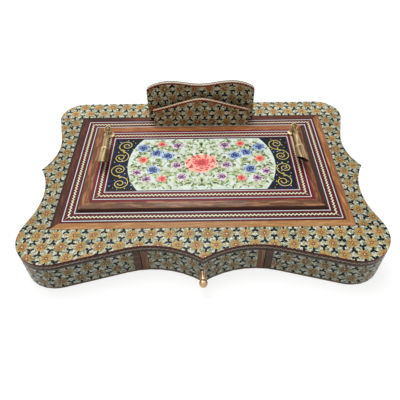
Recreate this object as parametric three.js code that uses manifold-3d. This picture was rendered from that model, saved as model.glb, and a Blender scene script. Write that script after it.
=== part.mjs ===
import * as THREE from 'three';
import { mergeVertices } from 'three/addons/utils/BufferGeometryUtils.js';
import Module from 'manifold-3d';

// A khatam desk pen holder: a curved wooden case with a front drawer, an inlaid top with a raised
// painted panel, a card holder at the back and two turning brass pen funnels.
// Millimetres, +X right, +Y towards the back, +Z up. The origin lies on the resting face, under the
// middle of the case.

// Case outline: four round corners joined by hollows that meet in pointed cusps
const CASE_WIDTH = 335;
const CASE_DEPTH = 240;
const BACK_CORNER_RADIUS = 26.8;
const FRONT_CORNER_RADIUS = 31.5;
const FRONT_LOBE_RADIUS = 41.5;
const FRONT_CUSP_SETBACK = 4.8;
const SIDE_CUSP_Y = 0.7;
const FRONT_HOLLOW_ANGLES = { cusp: 33.5, flank: 15.2 };
const SIDE_FRONT_HOLLOW_ANGLES = { cusp: 31.6, flank: 20.4 };
const SIDE_BACK_HOLLOW_ANGLES = { cusp: 35.3, flank: 14.2 };
const HOLLOW_STEPS = 7;
const CORNER_STEPS = 8;

// Case boards, from the resting face up
const UNDERLAY_THICKNESS = 0.8;
const UNDERLAY_INSET = 2;
const BOTTOM_THICKNESS = 2.2;
const WALL_HEIGHT = 27.5;
const WALL_THICKNESS = 7;
const TOP_THICKNESS = 6.5;
const BAND_THICKNESS = 1.2;
const KHATAM_THICKNESS = 1;

// Rectangular frame on the top: its margins to the case, then its strips from the outside inwards
const FRAME_SIDE_MARGIN = 27.5;
const FRAME_BACK_MARGIN = 28.8;
const FRAME_FRONT_MARGIN = 38.8;
const BORDER_WIDTH = 7;
const MOULDING_WIDTH = 10.4;
const MOULDING_FOOT_WIDTH = 4.5;
const MOULDING_SLOPE_WIDTH = 3.6;
const MOULDING_LIP = 1.5;
const INNER_INLAY_WIDTH = 14.6;
const STRIP_THICKNESS = 1.3;
const CORE_THICKNESS = 2.7;
const PANEL_THICKNESS = 1.1;

// Drawer and its housing
const DRAWER_WIDTH = 112.6;
const DRAWER_GAP = 0.7;
const DRAWER_RUNNING_GAP = 0.3;
const END_STRIP_WIDTH = 6.5;
const DRAWER_FRONT_THICKNESS = 8;
const DRAWER_LENGTH = 112;
const DRAWER_BOARD_THICKNESS = 5;
const DRAWER_BOARD_DROP = 3.9;
const DRAWER_BOTTOM_THICKNESS = 2.5;
const PARTITION_THICKNESS = 6;

// Drawer knob, its height measured from the drawer's lower edge
const KNOB_HEIGHT = 12;
const KNOB_SEAT_DEPTH = 2.1;
const KNOB_SEAT_CLEARANCE = 0.4;
const KNOB_BASE_RADIUS = 3;
const KNOB_BASE_THICKNESS = 0.8;
const KNOB_WAIST_RADIUS = 2.7;
const KNOB_BALL_RADIUS = 3.9;
const KNOB_BALL_CENTRE = 12.5;
const KNOB_SHANK_RADIUS = 1.4;
const KNOB_SHANK_LENGTH = 13;

// Card holder: a tall back panel and a pocket in front of it, its heights measured from the strips that
// it stands on. An ease is how far a curve runs on level, as a part of its width.
const HOLDER_SETBACK = 0.7;
const HOLDER_FRONT_CLEARANCE = 2.1;
const HOLDER_SIDE_OVERHANG = 6.8;
const HOLDER_BACK_THICKNESS = 4.5;
const HOLDER_END_HEIGHT = 39.2;
const HOLDER_SHOULDER_HEIGHT = 41.2;
const HOLDER_SHOULDER_WIDTH = 1.4;
const HOLDER_HUMP_HEIGHT = 48.3;
const HOLDER_HUMP_X = 34.5;
const HOLDER_DIP_HEIGHT = 44.6;
const HOLDER_DIP_EASE = 0.38;
const HOLDER_HUMP_INNER_EASE = 0.4;
const HOLDER_HUMP_OUTER_EASE = 0.42;
const HOLDER_SHOULDER_EASE = 0.2;
const POCKET_WIDTH = 107.8;
const POCKET_DEPTH = 7.7;
const POCKET_BOARD_THICKNESS = 4;
const POCKET_PEAK_HEIGHT = 34.7;
const POCKET_END_HEIGHT = 20.7;
const POCKET_PEAK_EASE = 0.22;
const POCKET_END_EASE = 0.4;
const POCKET_END_RISE = 5;
const EDGING_THICKNESS = 1.4;
const PROFILE_STEPS = 7;

// Pen funnels: a fixed base, a turning socket, a tilting ball with its stem, and the funnel itself. The
// setbacks run from the raised inlay's outer edges, and the angles are in degrees.
const PEN_SIDE_SETBACK = 5.1;
const PEN_BACK_SETBACK = 6.8;
const PEN_YAW = { left: 2, right: 0 };
const PEN_TILT_DOWN = 1;
const PEN_TILT_UP = 78;
const PEN_SHANK_RADIUS = 1.3;
const PEN_SHANK_FLOOR = 1.5;
const PEN_FLANGE_RADIUS = 6;
const PEN_FLANGE_THICKNESS = 1.4;
const PEN_NECK_RADIUS = 3.2;
const PEN_NECK_LENGTH = 0.6;
const PEN_BASE_HEIGHT = 3.2;
const PIVOT_RADIUS = 1.5;
const PIVOT_RECESS = 0.2;
const SOCKET_FLOOR = 1.5;
const SOCKET_WALL = 0.9;
const BALL_RADIUS = 3;
const STEM_RADIUS = 1.2;
const STEM_REACH = 10.1;
const STEM_COLLAR_RADIUS = 1.8;
const STEM_COLLAR_LENGTH = 0.7;
const METAL_GAP = 0.3;
const FUNNEL_SPIN = { left: 0, right: 42 };
const FUNNEL_LENGTH = 46.2;
const FUNNEL_NECK_LENGTH = 20.7;
const FUNNEL_WALL = 0.8;
const FUNNEL_END_WALL = 1.5;
const FUNNEL_TAIL_RADIUS = 3.1;
const FUNNEL_NECK_RADIUS = 4;
const FUNNEL_RING_RADIUS = 4.95;
const FUNNEL_RING_LENGTH = 2;
const FUNNEL_MOUTH_RADIUS = 6.1;
const FUNNEL_LIP_SLANT = 45;

// Fineness of the turned pieces, and how far a cutting body passes what it cuts
const ROUND_STEPS = 16;
const BALL_STEPS = 5;
const SOCKET_STEPS = 7;
const CUT_OVERRUN = 1;
const MERGE_TOLERANCE = 1e-5;

const SIDES = [
  { name: 'left', sign: -1 },
  { name: 'right', sign: 1 },
];

// Heights of the layers
const bottomZ = UNDERLAY_THICKNESS;
const wallZ = bottomZ + BOTTOM_THICKNESS;
const topBoardZ = wallZ + WALL_HEIGHT;
const layingZ = topBoardZ + TOP_THICKNESS;
const stripTopZ = layingZ + STRIP_THICKNESS;
const coreTopZ = layingZ + CORE_THICKNESS;
const raisedTopZ = coreTopZ + STRIP_THICKNESS;

// Limits of the case and of the frame
const halfWidth = CASE_WIDTH / 2;
const backY = CASE_DEPTH / 2;
const frontY = -CASE_DEPTH / 2;
const frontCuspY = frontY + FRONT_CUSP_SETBACK;
const frameHalfWidth = halfWidth - FRAME_SIDE_MARGIN;
const frameBackY = backY - FRAME_BACK_MARGIN;
const frameFrontY = frontY + FRAME_FRONT_MARGIN;
const frameCentreY = (frameBackY + frameFrontY) / 2;
const frameHalfDepth = (frameBackY - frameFrontY) / 2;

// Insets of the frame's strips from its outer edge. The card holder stands on the outer two strips, so
// the raised part starts in front of it.
const outerInlayInset = BORDER_WIDTH;
const holderVeneerInset = HOLDER_SETBACK + HOLDER_BACK_THICKNESS;
const holderFaceInset = holderVeneerInset + KHATAM_THICKNESS;
const pocketBackInset = holderFaceInset + POCKET_DEPTH;
const pocketVeneerInset = pocketBackInset + POCKET_BOARD_THICKNESS;
const pocketFaceInset = pocketVeneerInset + KHATAM_THICKNESS;
const mouldingInset = pocketFaceInset + HOLDER_FRONT_CLEARANCE;
const innerInlayInset = mouldingInset + MOULDING_WIDTH;
const panelInset = innerInlayInset + INNER_INLAY_WIDTH;
const coreInset = mouldingInset + MOULDING_FOOT_WIDTH;

const MATERIALS = {
  khatam: { color: 0xb9a878, roughness: 0.32, metalness: 0 },
  wood: { color: 0x8a5a34, roughness: 0.45, metalness: 0 },
  borderWood: { color: 0xa9683c, roughness: 0.38, metalness: 0 },
  inlay: { color: 0x5e2420, roughness: 0.35, metalness: 0 },
  zigzag: { color: 0xb5a67c, roughness: 0.4, metalness: 0 },
  painting: { color: 0xdfe3cf, roughness: 0.25, metalness: 0 },
  brass: { color: 0xb39a62, roughness: 0.3, metalness: 0.9 },
  felt: { color: 0x2d4a35, roughness: 0.95, metalness: 0 },
};

const wasm = await Module();
wasm.setup();

const radians = THREE.MathUtils.degToRad;

// Rewrites every vertex, then keeps the faces pointing outwards if the change mirrored the body
function reshaped(geometry, place) {
  geometry.deleteAttribute('normal');
  geometry.deleteAttribute('uv');
  const merged = mergeVertices(geometry, MERGE_TOLERANCE);
  const positions = merged.attributes.position;
  for (let i = 0; i < positions.count; i += 1) {
    const point = place(positions.getX(i), positions.getY(i), positions.getZ(i));
    positions.setXYZ(i, point[0], point[1], point[2]);
  }
  if (signedVolume(merged) < 0) {
    merged.index.array.reverse();
  }
  return merged;
}

function signedVolume(geometry) {
  const positions = geometry.attributes.position;
  const corners = [new THREE.Vector3(), new THREE.Vector3(), new THREE.Vector3()];
  let volume = 0;
  for (let i = 0; i < geometry.index.count; i += 3) {
    corners.forEach((corner, k) => corner.fromBufferAttribute(positions, geometry.index.getX(i + k)));
    volume += corners[0].dot(corners[1].cross(corners[2])) / 6;
  }
  return volume;
}

function toSolid(geometry) {
  return new wasm.Manifold(new wasm.Mesh({
    numProp: 3,
    vertProperties: new Float32Array(geometry.attributes.position.array),
    triVerts: new Uint32Array(geometry.index.array),
  }));
}

function toGeometry(solid) {
  const mesh = solid.getMesh();
  const geometry = new THREE.BufferGeometry();
  geometry.setAttribute('position', new THREE.BufferAttribute(new Float32Array(mesh.vertProperties), 3));
  geometry.setIndex(new THREE.BufferAttribute(new Uint32Array(mesh.triVerts), 1));
  return geometry;
}

function cutAway(geometry, tools) {
  return toGeometry(tools.reduce((solid, tool) => solid.subtract(toSolid(tool)), toSolid(geometry)));
}

// A plate standing on the height low and reaching to the height high
function plate(outline, low, high, hole = null) {
  const shape = new THREE.Shape(outline);
  if (hole) {
    shape.holes.push(new THREE.Path(hole));
  }
  const extruded = new THREE.ExtrudeGeometry(shape, { depth: 1, bevelEnabled: false });
  return reshaped(extruded, (x, y, t) => [x, y, t > 0.5 ? high : low]);
}

// An upright board whose outline is drawn in X and Z
function uprightBoard(outline, front, back) {
  const extruded = new THREE.ExtrudeGeometry(new THREE.Shape(outline), { depth: 1, bevelEnabled: false });
  return reshaped(extruded, (x, z, t) => [x, t > 0.5 ? back : front, z]);
}

function box(low, high) {
  const pick = (value, axis) => (value > 0 ? high[axis] : low[axis]);
  return reshaped(new THREE.BoxGeometry(1, 1, 1), (x, y, z) => [pick(x, 0), pick(y, 1), pick(z, 2)]);
}

function rectangle(left, right, low, high) {
  return [
    new THREE.Vector2(left, low),
    new THREE.Vector2(right, low),
    new THREE.Vector2(right, high),
    new THREE.Vector2(left, high),
  ];
}

function uprightRod(radius, x, y, low, high) {
  const cylinder = new THREE.CylinderGeometry(radius, radius, 1, ROUND_STEPS);
  return reshaped(cylinder, (a, t, b) => [x + a, y - b, t > 0 ? high : low]);
}

function forwardRod(radius, z, front, back) {
  const cylinder = new THREE.CylinderGeometry(radius, radius, 1, ROUND_STEPS);
  return reshaped(cylinder, (a, t, b) => [a, t > 0 ? back : front, z + b]);
}

// Profiles are lists of [radius, distance along the axis]
function turned(profile, place) {
  const points = profile.map(([radius, along]) => new THREE.Vector2(radius, along));
  return reshaped(new THREE.LatheGeometry(points, ROUND_STEPS), place);
}

function sphereProfile(radius, centre, fromAngle, toAngle, steps) {
  const profile = [];
  for (let i = 0; i <= steps; i += 1) {
    const angle = radians(THREE.MathUtils.lerp(fromAngle, toAngle, i / steps));
    profile.push([Math.max(0, radius * Math.sin(angle)), centre + radius * Math.cos(angle)]);
  }
  return profile;
}

function arcPoints(centre, radius, startAngle, endAngle, steps) {
  const points = [];
  for (let i = 0; i <= steps; i += 1) {
    const angle = THREE.MathUtils.lerp(startAngle, endAngle, i / steps);
    const offset = new THREE.Vector2(Math.cos(angle), Math.sin(angle)).multiplyScalar(radius);
    points.push(centre.clone().add(offset));
  }
  return points;
}

// A hollow leaves its cusp at one angle, bends back through a circle and runs on as a straight flank
// that touches the next round corner. The corner's centre lies along and inward of the cusp.
function hollow(angles, along, inward, cornerRadius) {
  const cusp = radians(angles.cusp);
  const flank = radians(angles.flank);
  const straightAlong = along - cornerRadius * Math.sin(flank);
  const straightInward = inward - cornerRadius * Math.cos(flank);
  const rise = straightInward + Math.tan(flank) * straightAlong;
  const turn = Math.cos(flank) - Math.cos(cusp) + Math.tan(flank) * (Math.sin(cusp) + Math.sin(flank));
  return { cusp, flank, radius: rise / turn };
}

const frontCornerCentre = new THREE.Vector2(halfWidth - FRONT_CORNER_RADIUS, frontY + FRONT_CORNER_RADIUS);
const frontLobeCentre = new THREE.Vector2(frontCornerCentre.x, frontY + FRONT_LOBE_RADIUS);
const backCornerCentre = new THREE.Vector2(halfWidth - BACK_CORNER_RADIUS, backY - BACK_CORNER_RADIUS);

const frontHollow = hollow(
  FRONT_HOLLOW_ANGLES,
  frontLobeCentre.x,
  frontLobeCentre.y - frontCuspY,
  FRONT_LOBE_RADIUS,
);
frontHollow.centre = new THREE.Vector2(
  frontHollow.radius * Math.sin(frontHollow.cusp),
  frontCuspY - frontHollow.radius * Math.cos(frontHollow.cusp),
);

const sideFrontHollow = hollow(
  SIDE_FRONT_HOLLOW_ANGLES,
  SIDE_CUSP_Y - frontCornerCentre.y,
  FRONT_CORNER_RADIUS,
  FRONT_CORNER_RADIUS,
);
sideFrontHollow.centre = new THREE.Vector2(
  halfWidth + sideFrontHollow.radius * Math.cos(sideFrontHollow.cusp),
  SIDE_CUSP_Y - sideFrontHollow.radius * Math.sin(sideFrontHollow.cusp),
);

const sideBackHollow = hollow(
  SIDE_BACK_HOLLOW_ANGLES,
  backCornerCentre.y - SIDE_CUSP_Y,
  BACK_CORNER_RADIUS,
  BACK_CORNER_RADIUS,
);
sideBackHollow.centre = new THREE.Vector2(
  halfWidth + sideBackHollow.radius * Math.cos(sideBackHollow.cusp),
  SIDE_CUSP_Y + sideBackHollow.radius * Math.sin(sideBackHollow.cusp),
);

// The side cusp of the outline drawn inset: the inner crossing of the two hollows' circles
function sideCusp(inset) {
  const radiusFront = sideFrontHollow.radius + inset;
  const radiusBack = sideBackHollow.radius + inset;
  const between = sideBackHollow.centre.clone().sub(sideFrontHollow.centre);
  const distance = between.length();
  const along = (distance ** 2 + radiusFront ** 2 - radiusBack ** 2) / (2 * distance);
  const across = Math.sqrt(radiusFront ** 2 - along ** 2);
  const unit = between.normalize();
  const inward = new THREE.Vector2(-unit.y, unit.x);
  return sideFrontHollow.centre.clone().addScaledVector(unit, along).addScaledVector(inward, across);
}

function angleTo(centre, point) {
  const angle = Math.atan2(point.y - centre.y, point.x - centre.x);
  return angle < 0 ? angle + 2 * Math.PI : angle;
}

// The right half of the front, inset from the outline, from the front cusp to the side cusp
function frontChain(inset) {
  const frontRadius = frontHollow.radius + inset;
  const startAngle = Math.acos(-frontHollow.centre.x / frontRadius);
  const hollowEnd = Math.PI / 2 - frontHollow.flank;
  const cusp = sideCusp(inset);
  const points = [
    ...arcPoints(frontHollow.centre, frontRadius, startAngle, hollowEnd, HOLLOW_STEPS),
    ...arcPoints(
      frontLobeCentre,
      FRONT_LOBE_RADIUS - inset,
      -Math.PI / 2 - frontHollow.flank,
      -Math.PI / 2,
      CORNER_STEPS / 2,
    ),
    ...arcPoints(
      frontCornerCentre,
      FRONT_CORNER_RADIUS - inset,
      -Math.PI / 2,
      sideFrontHollow.flank,
      CORNER_STEPS,
    ).slice(1),
    ...arcPoints(
      sideFrontHollow.centre,
      sideFrontHollow.radius + inset,
      Math.PI + sideFrontHollow.flank,
      angleTo(sideFrontHollow.centre, cusp),
      HOLLOW_STEPS,
    ),
  ];
  points[0].x = 0;
  points[points.length - 1].copy(cusp);
  return points;
}

// The right half of the side behind the cusp, up to where the back edge runs straight
function sideChain(inset) {
  const cusp = sideCusp(inset);
  const points = [
    ...arcPoints(
      sideBackHollow.centre,
      sideBackHollow.radius + inset,
      angleTo(sideBackHollow.centre, cusp),
      Math.PI - sideBackHollow.flank,
      HOLLOW_STEPS,
    ),
    ...arcPoints(
      backCornerCentre,
      BACK_CORNER_RADIUS - inset,
      -sideBackHollow.flank,
      Math.PI / 2,
      CORNER_STEPS,
    ),
  ];
  points[0].copy(cusp);
  points[points.length - 1].set(backCornerCentre.x, backY - inset);
  return points;
}

function mirrored(points) {
  return points.map((point) => new THREE.Vector2(-point.x, point.y)).reverse();
}

function rightChain(inset) {
  return [...frontChain(inset), ...sideChain(inset).slice(1)];
}

function caseOutline(inset) {
  return [...rightChain(inset), ...mirrored(rightChain(inset)).slice(0, -1)];
}

// The stretch of a chain between two X values, both reached before the chain turns back
function stretch(points, fromX, toX = Infinity) {
  const result = [];
  for (let i = 0; i < points.length - 1; i += 1) {
    const start = points[i];
    const end = points[i + 1];
    if (result.length === 0 && end.x > fromX) {
      result.push(start.clone().lerp(end, (fromX - start.x) / (end.x - start.x)).setX(fromX));
    }
    if (result.length > 0 && end.x >= toX) {
      result.push(start.clone().lerp(end, (toX - start.x) / (end.x - start.x)).setX(toX));
      return result;
    }
    if (result.length > 0) {
      result.push(end.clone());
    }
  }
  return result;
}

function band(outer, inner) {
  return [...outer, ...inner.slice().reverse()];
}

const object = new THREE.Group();

function addPiece(name, geometry, material, parent = object) {
  const mesh = new THREE.Mesh(geometry, new THREE.MeshStandardMaterial(MATERIALS[material]));
  mesh.name = name;
  parent.add(mesh);
  return mesh;
}

// Case

const wallInset = KHATAM_THICKNESS + WALL_THICKNESS;
const drawerHalfWidth = DRAWER_WIDTH / 2;
const housingHalfWidth = drawerHalfWidth + DRAWER_GAP;
const wallStripEnd = housingHalfWidth + END_STRIP_WIDTH;

function addCaseWalls() {
  const frontWall = band(
    [
      ...stretch(frontChain(0), housingHalfWidth, wallStripEnd),
      ...stretch(frontChain(KHATAM_THICKNESS), wallStripEnd),
    ],
    stretch(frontChain(wallInset), housingHalfWidth),
  );
  const frontKhatam = band(
    stretch(frontChain(0), wallStripEnd),
    stretch(frontChain(KHATAM_THICKNESS), wallStripEnd),
  );
  const sideWall = band(sideChain(KHATAM_THICKNESS), sideChain(wallInset));
  const sideKhatam = band(sideChain(0), sideChain(KHATAM_THICKNESS));
  SIDES.forEach(({ name, sign }) => {
    const placed = (outline) => (sign > 0 ? outline : mirrored(outline));
    addPiece(`wall_front_${name}`, plate(placed(frontWall), wallZ, topBoardZ), 'wood');
    addPiece(`wall_side_${name}`, plate(placed(sideWall), wallZ, topBoardZ), 'wood');
    addPiece(`khatam_front_${name}`, plate(placed(frontKhatam), wallZ, topBoardZ), 'khatam');
    addPiece(`khatam_side_${name}`, plate(placed(sideKhatam), wallZ, topBoardZ), 'khatam');
  });
  const backEnd = backCornerCentre.x;
  const backFace = backY - KHATAM_THICKNESS;
  addPiece('wall_back', box([-backEnd, backY - wallInset, wallZ], [backEnd, backFace, topBoardZ]), 'wood');
  addPiece('khatam_back', box([-backEnd, backFace, wallZ], [backEnd, backY, topBoardZ]), 'khatam');
}

const penX = frameHalfWidth - innerInlayInset - PEN_SIDE_SETBACK;
const penY = frameBackY - innerInlayInset - PEN_BACK_SETBACK;
const shankHoleZ = topBoardZ + PEN_SHANK_FLOOR;

// Holes for the two pen bases' shanks, down through the raised strips into the top board
function shankHoles() {
  const radius = PEN_SHANK_RADIUS + METAL_GAP;
  const high = raisedTopZ + CUT_OVERRUN;
  return SIDES.map(({ sign }) => uprightRod(radius, sign * penX, penY, shankHoleZ, high));
}

function addCaseBoards() {
  addPiece('underlay', plate(caseOutline(UNDERLAY_INSET), 0, bottomZ), 'felt');
  addPiece('bottom_board', plate(caseOutline(0), bottomZ, wallZ), 'wood');
  const topBoard = plate(caseOutline(BAND_THICKNESS), topBoardZ, layingZ);
  addPiece('top_board', cutAway(topBoard, shankHoles()), 'wood');
  const toBackMiddle = (inset) => [...rightChain(inset), new THREE.Vector2(0, backY - inset)];
  const rightBand = band(toBackMiddle(0), toBackMiddle(BAND_THICKNESS));
  addPiece('edge_band_right', plate(rightBand, topBoardZ, layingZ), 'zigzag');
  addPiece('edge_band_left', plate(mirrored(rightBand), topBoardZ, layingZ), 'zigzag');
  const frameHole = rectangle(-frameHalfWidth, frameHalfWidth, frameFrontY, frameBackY);
  const topKhatam = plate(caseOutline(0), layingZ, layingZ + KHATAM_THICKNESS, frameHole);
  addPiece('top_khatam', topKhatam, 'khatam');
}

// Frame strips, mitred at the corners

// One strip of the frame. Its section is drawn as [inset from the frame's edge, height].
function mitredStrip(section, side) {
  const outline = section.map(([inset, z]) => new THREE.Vector2(inset, z));
  const extruded = new THREE.ExtrudeGeometry(new THREE.Shape(outline), { depth: 1, bevelEnabled: false });
  return reshaped(extruded, (inset, z, t) => {
    const across = t > 0.5 ? 1 : -1;
    const x = frameHalfWidth - inset;
    const y = frameHalfDepth - inset;
    const corners = {
      front: [across * x, frameCentreY - y, z],
      back: [across * x, frameCentreY + y, z],
      left: [-x, frameCentreY + across * y, z],
      right: [x, frameCentreY + across * y, z],
    };
    return corners[side];
  });
}

function flatSection(fromInset, toInset, low, high) {
  return [[fromInset, low], [toInset, low], [toInset, high], [fromInset, high]];
}

// The moulding's foot stands outside the raised core and its lip lies on the core's edge
function mouldingSection() {
  const slopeEnd = mouldingInset + MOULDING_SLOPE_WIDTH;
  const slope = [];
  for (let i = 0; i <= CORNER_STEPS; i += 1) {
    const angle = (Math.PI / 2) * (i / CORNER_STEPS);
    slope.push([
      slopeEnd - MOULDING_SLOPE_WIDTH * Math.cos(angle),
      layingZ + MOULDING_LIP + (raisedTopZ - layingZ - MOULDING_LIP) * Math.sin(angle),
    ]);
  }
  return [
    [coreInset, layingZ],
    [mouldingInset, layingZ],
    ...slope,
    [innerInlayInset, raisedTopZ],
    [innerInlayInset, coreTopZ],
    [coreInset, coreTopZ],
  ];
}

function addFrame() {
  const sections = [
    ['border', flatSection(0, outerInlayInset, layingZ, stripTopZ), 'borderWood'],
    ['outer_inlay', flatSection(outerInlayInset, mouldingInset, layingZ, stripTopZ), 'inlay'],
    ['moulding', mouldingSection(), 'borderWood'],
    ['inner_inlay', flatSection(innerInlayInset, panelInset, coreTopZ, raisedTopZ), 'inlay'],
  ];
  const holes = shankHoles();
  sections.forEach(([name, section, material]) => {
    ['front', 'back', 'left', 'right'].forEach((side) => {
      const strip = mitredStrip(section, side);
      const drilled = name === 'inner_inlay' && side !== 'front' ? cutAway(strip, holes) : strip;
      addPiece(`${name}_${side}`, drilled, material);
    });
  });
  const insetBox = (inset, low, high) => box(
    [inset - frameHalfWidth, frameFrontY + inset, low],
    [frameHalfWidth - inset, frameBackY - inset, high],
  );
  addPiece('raised_core', cutAway(insetBox(coreInset, layingZ, coreTopZ), holes), 'wood');
  addPiece('painted_panel', insetBox(panelInset, coreTopZ, coreTopZ + PANEL_THICKNESS), 'painting');
}

// Card holder

const pocketHalfWidth = POCKET_WIDTH / 2;
const holderHalfWidth = pocketHalfWidth + HOLDER_SIDE_OVERHANG;

// Right halves of the two top edges, from the middle outwards
function holderProfile() {
  const shoulderX = holderHalfWidth - HOLDER_SHOULDER_WIDTH;
  const fall = shoulderX - HOLDER_HUMP_X;
  const path = new THREE.Path();
  path.moveTo(0, HOLDER_DIP_HEIGHT);
  path.bezierCurveTo(
    HOLDER_HUMP_X * HOLDER_DIP_EASE, HOLDER_DIP_HEIGHT,
    HOLDER_HUMP_X * (1 - HOLDER_HUMP_INNER_EASE), HOLDER_HUMP_HEIGHT,
    HOLDER_HUMP_X, HOLDER_HUMP_HEIGHT,
  );
  path.bezierCurveTo(
    HOLDER_HUMP_X + fall * HOLDER_HUMP_OUTER_EASE, HOLDER_HUMP_HEIGHT,
    shoulderX - fall * HOLDER_SHOULDER_EASE, (HOLDER_HUMP_HEIGHT + HOLDER_SHOULDER_HEIGHT) / 2,
    shoulderX, HOLDER_SHOULDER_HEIGHT,
  );
  path.lineTo(holderHalfWidth, HOLDER_END_HEIGHT);
  return path.getPoints(PROFILE_STEPS);
}

function pocketProfile() {
  const path = new THREE.Path();
  path.moveTo(0, POCKET_PEAK_HEIGHT);
  path.bezierCurveTo(
    pocketHalfWidth * POCKET_PEAK_EASE, POCKET_PEAK_HEIGHT,
    pocketHalfWidth * (1 - POCKET_END_EASE), POCKET_END_HEIGHT + POCKET_END_RISE,
    pocketHalfWidth, POCKET_END_HEIGHT,
  );
  return path.getPoints(2 * PROFILE_STEPS);
}

// The profile's right half mirrored to a full top edge, from right to left, at a drop below the top
function topEdge(rightHalf, drop) {
  const lifted = rightHalf.map((point) => new THREE.Vector2(point.x, stripTopZ + point.y - drop));
  const otherHalf = lifted.slice(1).map((point) => new THREE.Vector2(-point.x, point.y));
  return [...lifted.slice().reverse(), ...otherHalf];
}

function panelOutline(rightHalf) {
  const edge = topEdge(rightHalf, EDGING_THICKNESS);
  const half = edge[0].x;
  return [new THREE.Vector2(-half, stripTopZ), new THREE.Vector2(half, stripTopZ), ...edge];
}

function edgingOutline(rightHalf) {
  return band(topEdge(rightHalf, 0), topEdge(rightHalf, EDGING_THICKNESS));
}

const holderBackY = frameBackY - HOLDER_SETBACK;
const holderVeneerY = frameBackY - holderVeneerInset;
const holderFaceY = frameBackY - holderFaceInset;
const pocketBackY = frameBackY - pocketBackInset;
const pocketVeneerY = frameBackY - pocketVeneerInset;
const pocketFaceY = frameBackY - pocketFaceInset;

function addCardHolder() {
  const boards = [
    ['holder_back', holderProfile(), holderFaceY, holderVeneerY, holderBackY],
    ['pocket', pocketProfile(), pocketFaceY, pocketVeneerY, pocketBackY],
  ];
  boards.forEach(([name, profile, faceY, veneerY, rearY]) => {
    addPiece(`${name}_board`, uprightBoard(panelOutline(profile), veneerY, rearY), 'wood');
    addPiece(`${name}_khatam`, uprightBoard(panelOutline(profile), faceY, veneerY), 'khatam');
    addPiece(`${name}_edging`, uprightBoard(edgingOutline(profile), faceY, rearY), 'zigzag');
  });
  const cheekTop = stripTopZ + POCKET_END_HEIGHT - EDGING_THICKNESS;
  const cheekInner = pocketHalfWidth - POCKET_BOARD_THICKNESS;
  SIDES.forEach(({ name, sign }) => {
    const edges = [sign * pocketHalfWidth, sign * cheekInner].sort((a, b) => a - b);
    const low = [edges[0], pocketBackY, stripTopZ];
    const high = [edges[1], holderFaceY, cheekTop];
    addPiece(`pocket_cheek_${name}`, box(low, high), 'wood');
  });
}

// Drawer and its housing

const hollowBottomY = frontHollow.centre.y + frontHollow.radius;
const drawerInnerY = hollowBottomY + DRAWER_FRONT_THICKNESS;
const drawerEndY = drawerInnerY + DRAWER_LENGTH;
const drawerZ = wallZ + DRAWER_RUNNING_GAP;
const drawerTopZ = topBoardZ - DRAWER_RUNNING_GAP;
const knobSeatY = frontCuspY + KNOB_SEAT_DEPTH;
const knobZ = drawerZ + KNOB_HEIGHT;

function addDrawerHousing() {
  const partitionSide = housingHalfWidth + PARTITION_THICKNESS;
  const wallInside = stretch(frontChain(wallInset), housingHalfWidth, partitionSide);
  const frontEnd = Math.max(...wallInside.map((point) => point.y)) + DRAWER_RUNNING_GAP;
  const stopFace = drawerEndY + DRAWER_RUNNING_GAP;
  const stopBack = stopFace + PARTITION_THICKNESS;
  SIDES.forEach(({ name, sign }) => {
    const edges = [sign * housingHalfWidth, sign * partitionSide].sort((a, b) => a - b);
    const partition = box([edges[0], frontEnd, wallZ], [edges[1], stopBack, topBoardZ]);
    addPiece(`partition_${name}`, partition, 'wood');
  });
  const stop = box([-housingHalfWidth, stopFace, wallZ], [housingHalfWidth, stopBack, topBoardZ]);
  addPiece('drawer_stop', stop, 'wood');
}

function addDrawerFront(drawer) {
  const stripStart = drawerHalfWidth - END_STRIP_WIDTH;
  const veneered = stretch(frontChain(KHATAM_THICKNESS), 0, stripStart);
  const face = stretch(frontChain(0), 0, stripStart);
  const rightFront = [...veneered, ...stretch(frontChain(0), stripStart, drawerHalfWidth)];
  const wholeFront = [...mirrored(rightFront).slice(0, -1), ...rightFront];
  const frontOutline = [
    ...wholeFront,
    new THREE.Vector2(drawerHalfWidth, drawerInnerY),
    new THREE.Vector2(-drawerHalfWidth, drawerInnerY),
  ];
  const khatamOutline = band(
    [...mirrored(face).slice(0, -1), ...face],
    [...mirrored(veneered).slice(0, -1), ...veneered],
  );
  const seatRadius = KNOB_BASE_RADIUS + KNOB_SEAT_CLEARANCE;
  const cutStart = frontCuspY - CUT_OVERRUN;
  const holeEnd = knobSeatY + KNOB_SHANK_LENGTH + METAL_GAP;
  const seat = forwardRod(seatRadius, knobZ, cutStart, knobSeatY);
  const hole = forwardRod(KNOB_SHANK_RADIUS + METAL_GAP, knobZ, cutStart, holeEnd);
  const front = cutAway(plate(frontOutline, drawerZ, drawerTopZ), [seat, hole]);
  const khatam = cutAway(plate(khatamOutline, drawerZ, drawerTopZ), [seat, hole]);
  addPiece('drawer_front', front, 'wood', drawer);
  addPiece('drawer_khatam', khatam, 'khatam', drawer);
}

function addDrawerBox(drawer) {
  const boardTop = drawerTopZ - DRAWER_BOARD_DROP;
  const inner = drawerHalfWidth - DRAWER_BOARD_THICKNESS;
  const backFace = drawerEndY - DRAWER_BOARD_THICKNESS;
  SIDES.forEach(({ name, sign }) => {
    const edges = [sign * inner, sign * drawerHalfWidth].sort((a, b) => a - b);
    const side = box([edges[0], drawerInnerY, drawerZ], [edges[1], drawerEndY, boardTop]);
    addPiece(`drawer_side_${name}`, side, 'wood', drawer);
  });
  const back = box([-inner, backFace, drawerZ], [inner, drawerEndY, boardTop]);
  addPiece('drawer_back', back, 'wood', drawer);
  const floorTop = drawerZ + DRAWER_BOTTOM_THICKNESS;
  const bottom = box([-inner, drawerInnerY, drawerZ], [inner, backFace, floorTop]);
  addPiece('drawer_bottom', bottom, 'wood', drawer);
}

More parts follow.
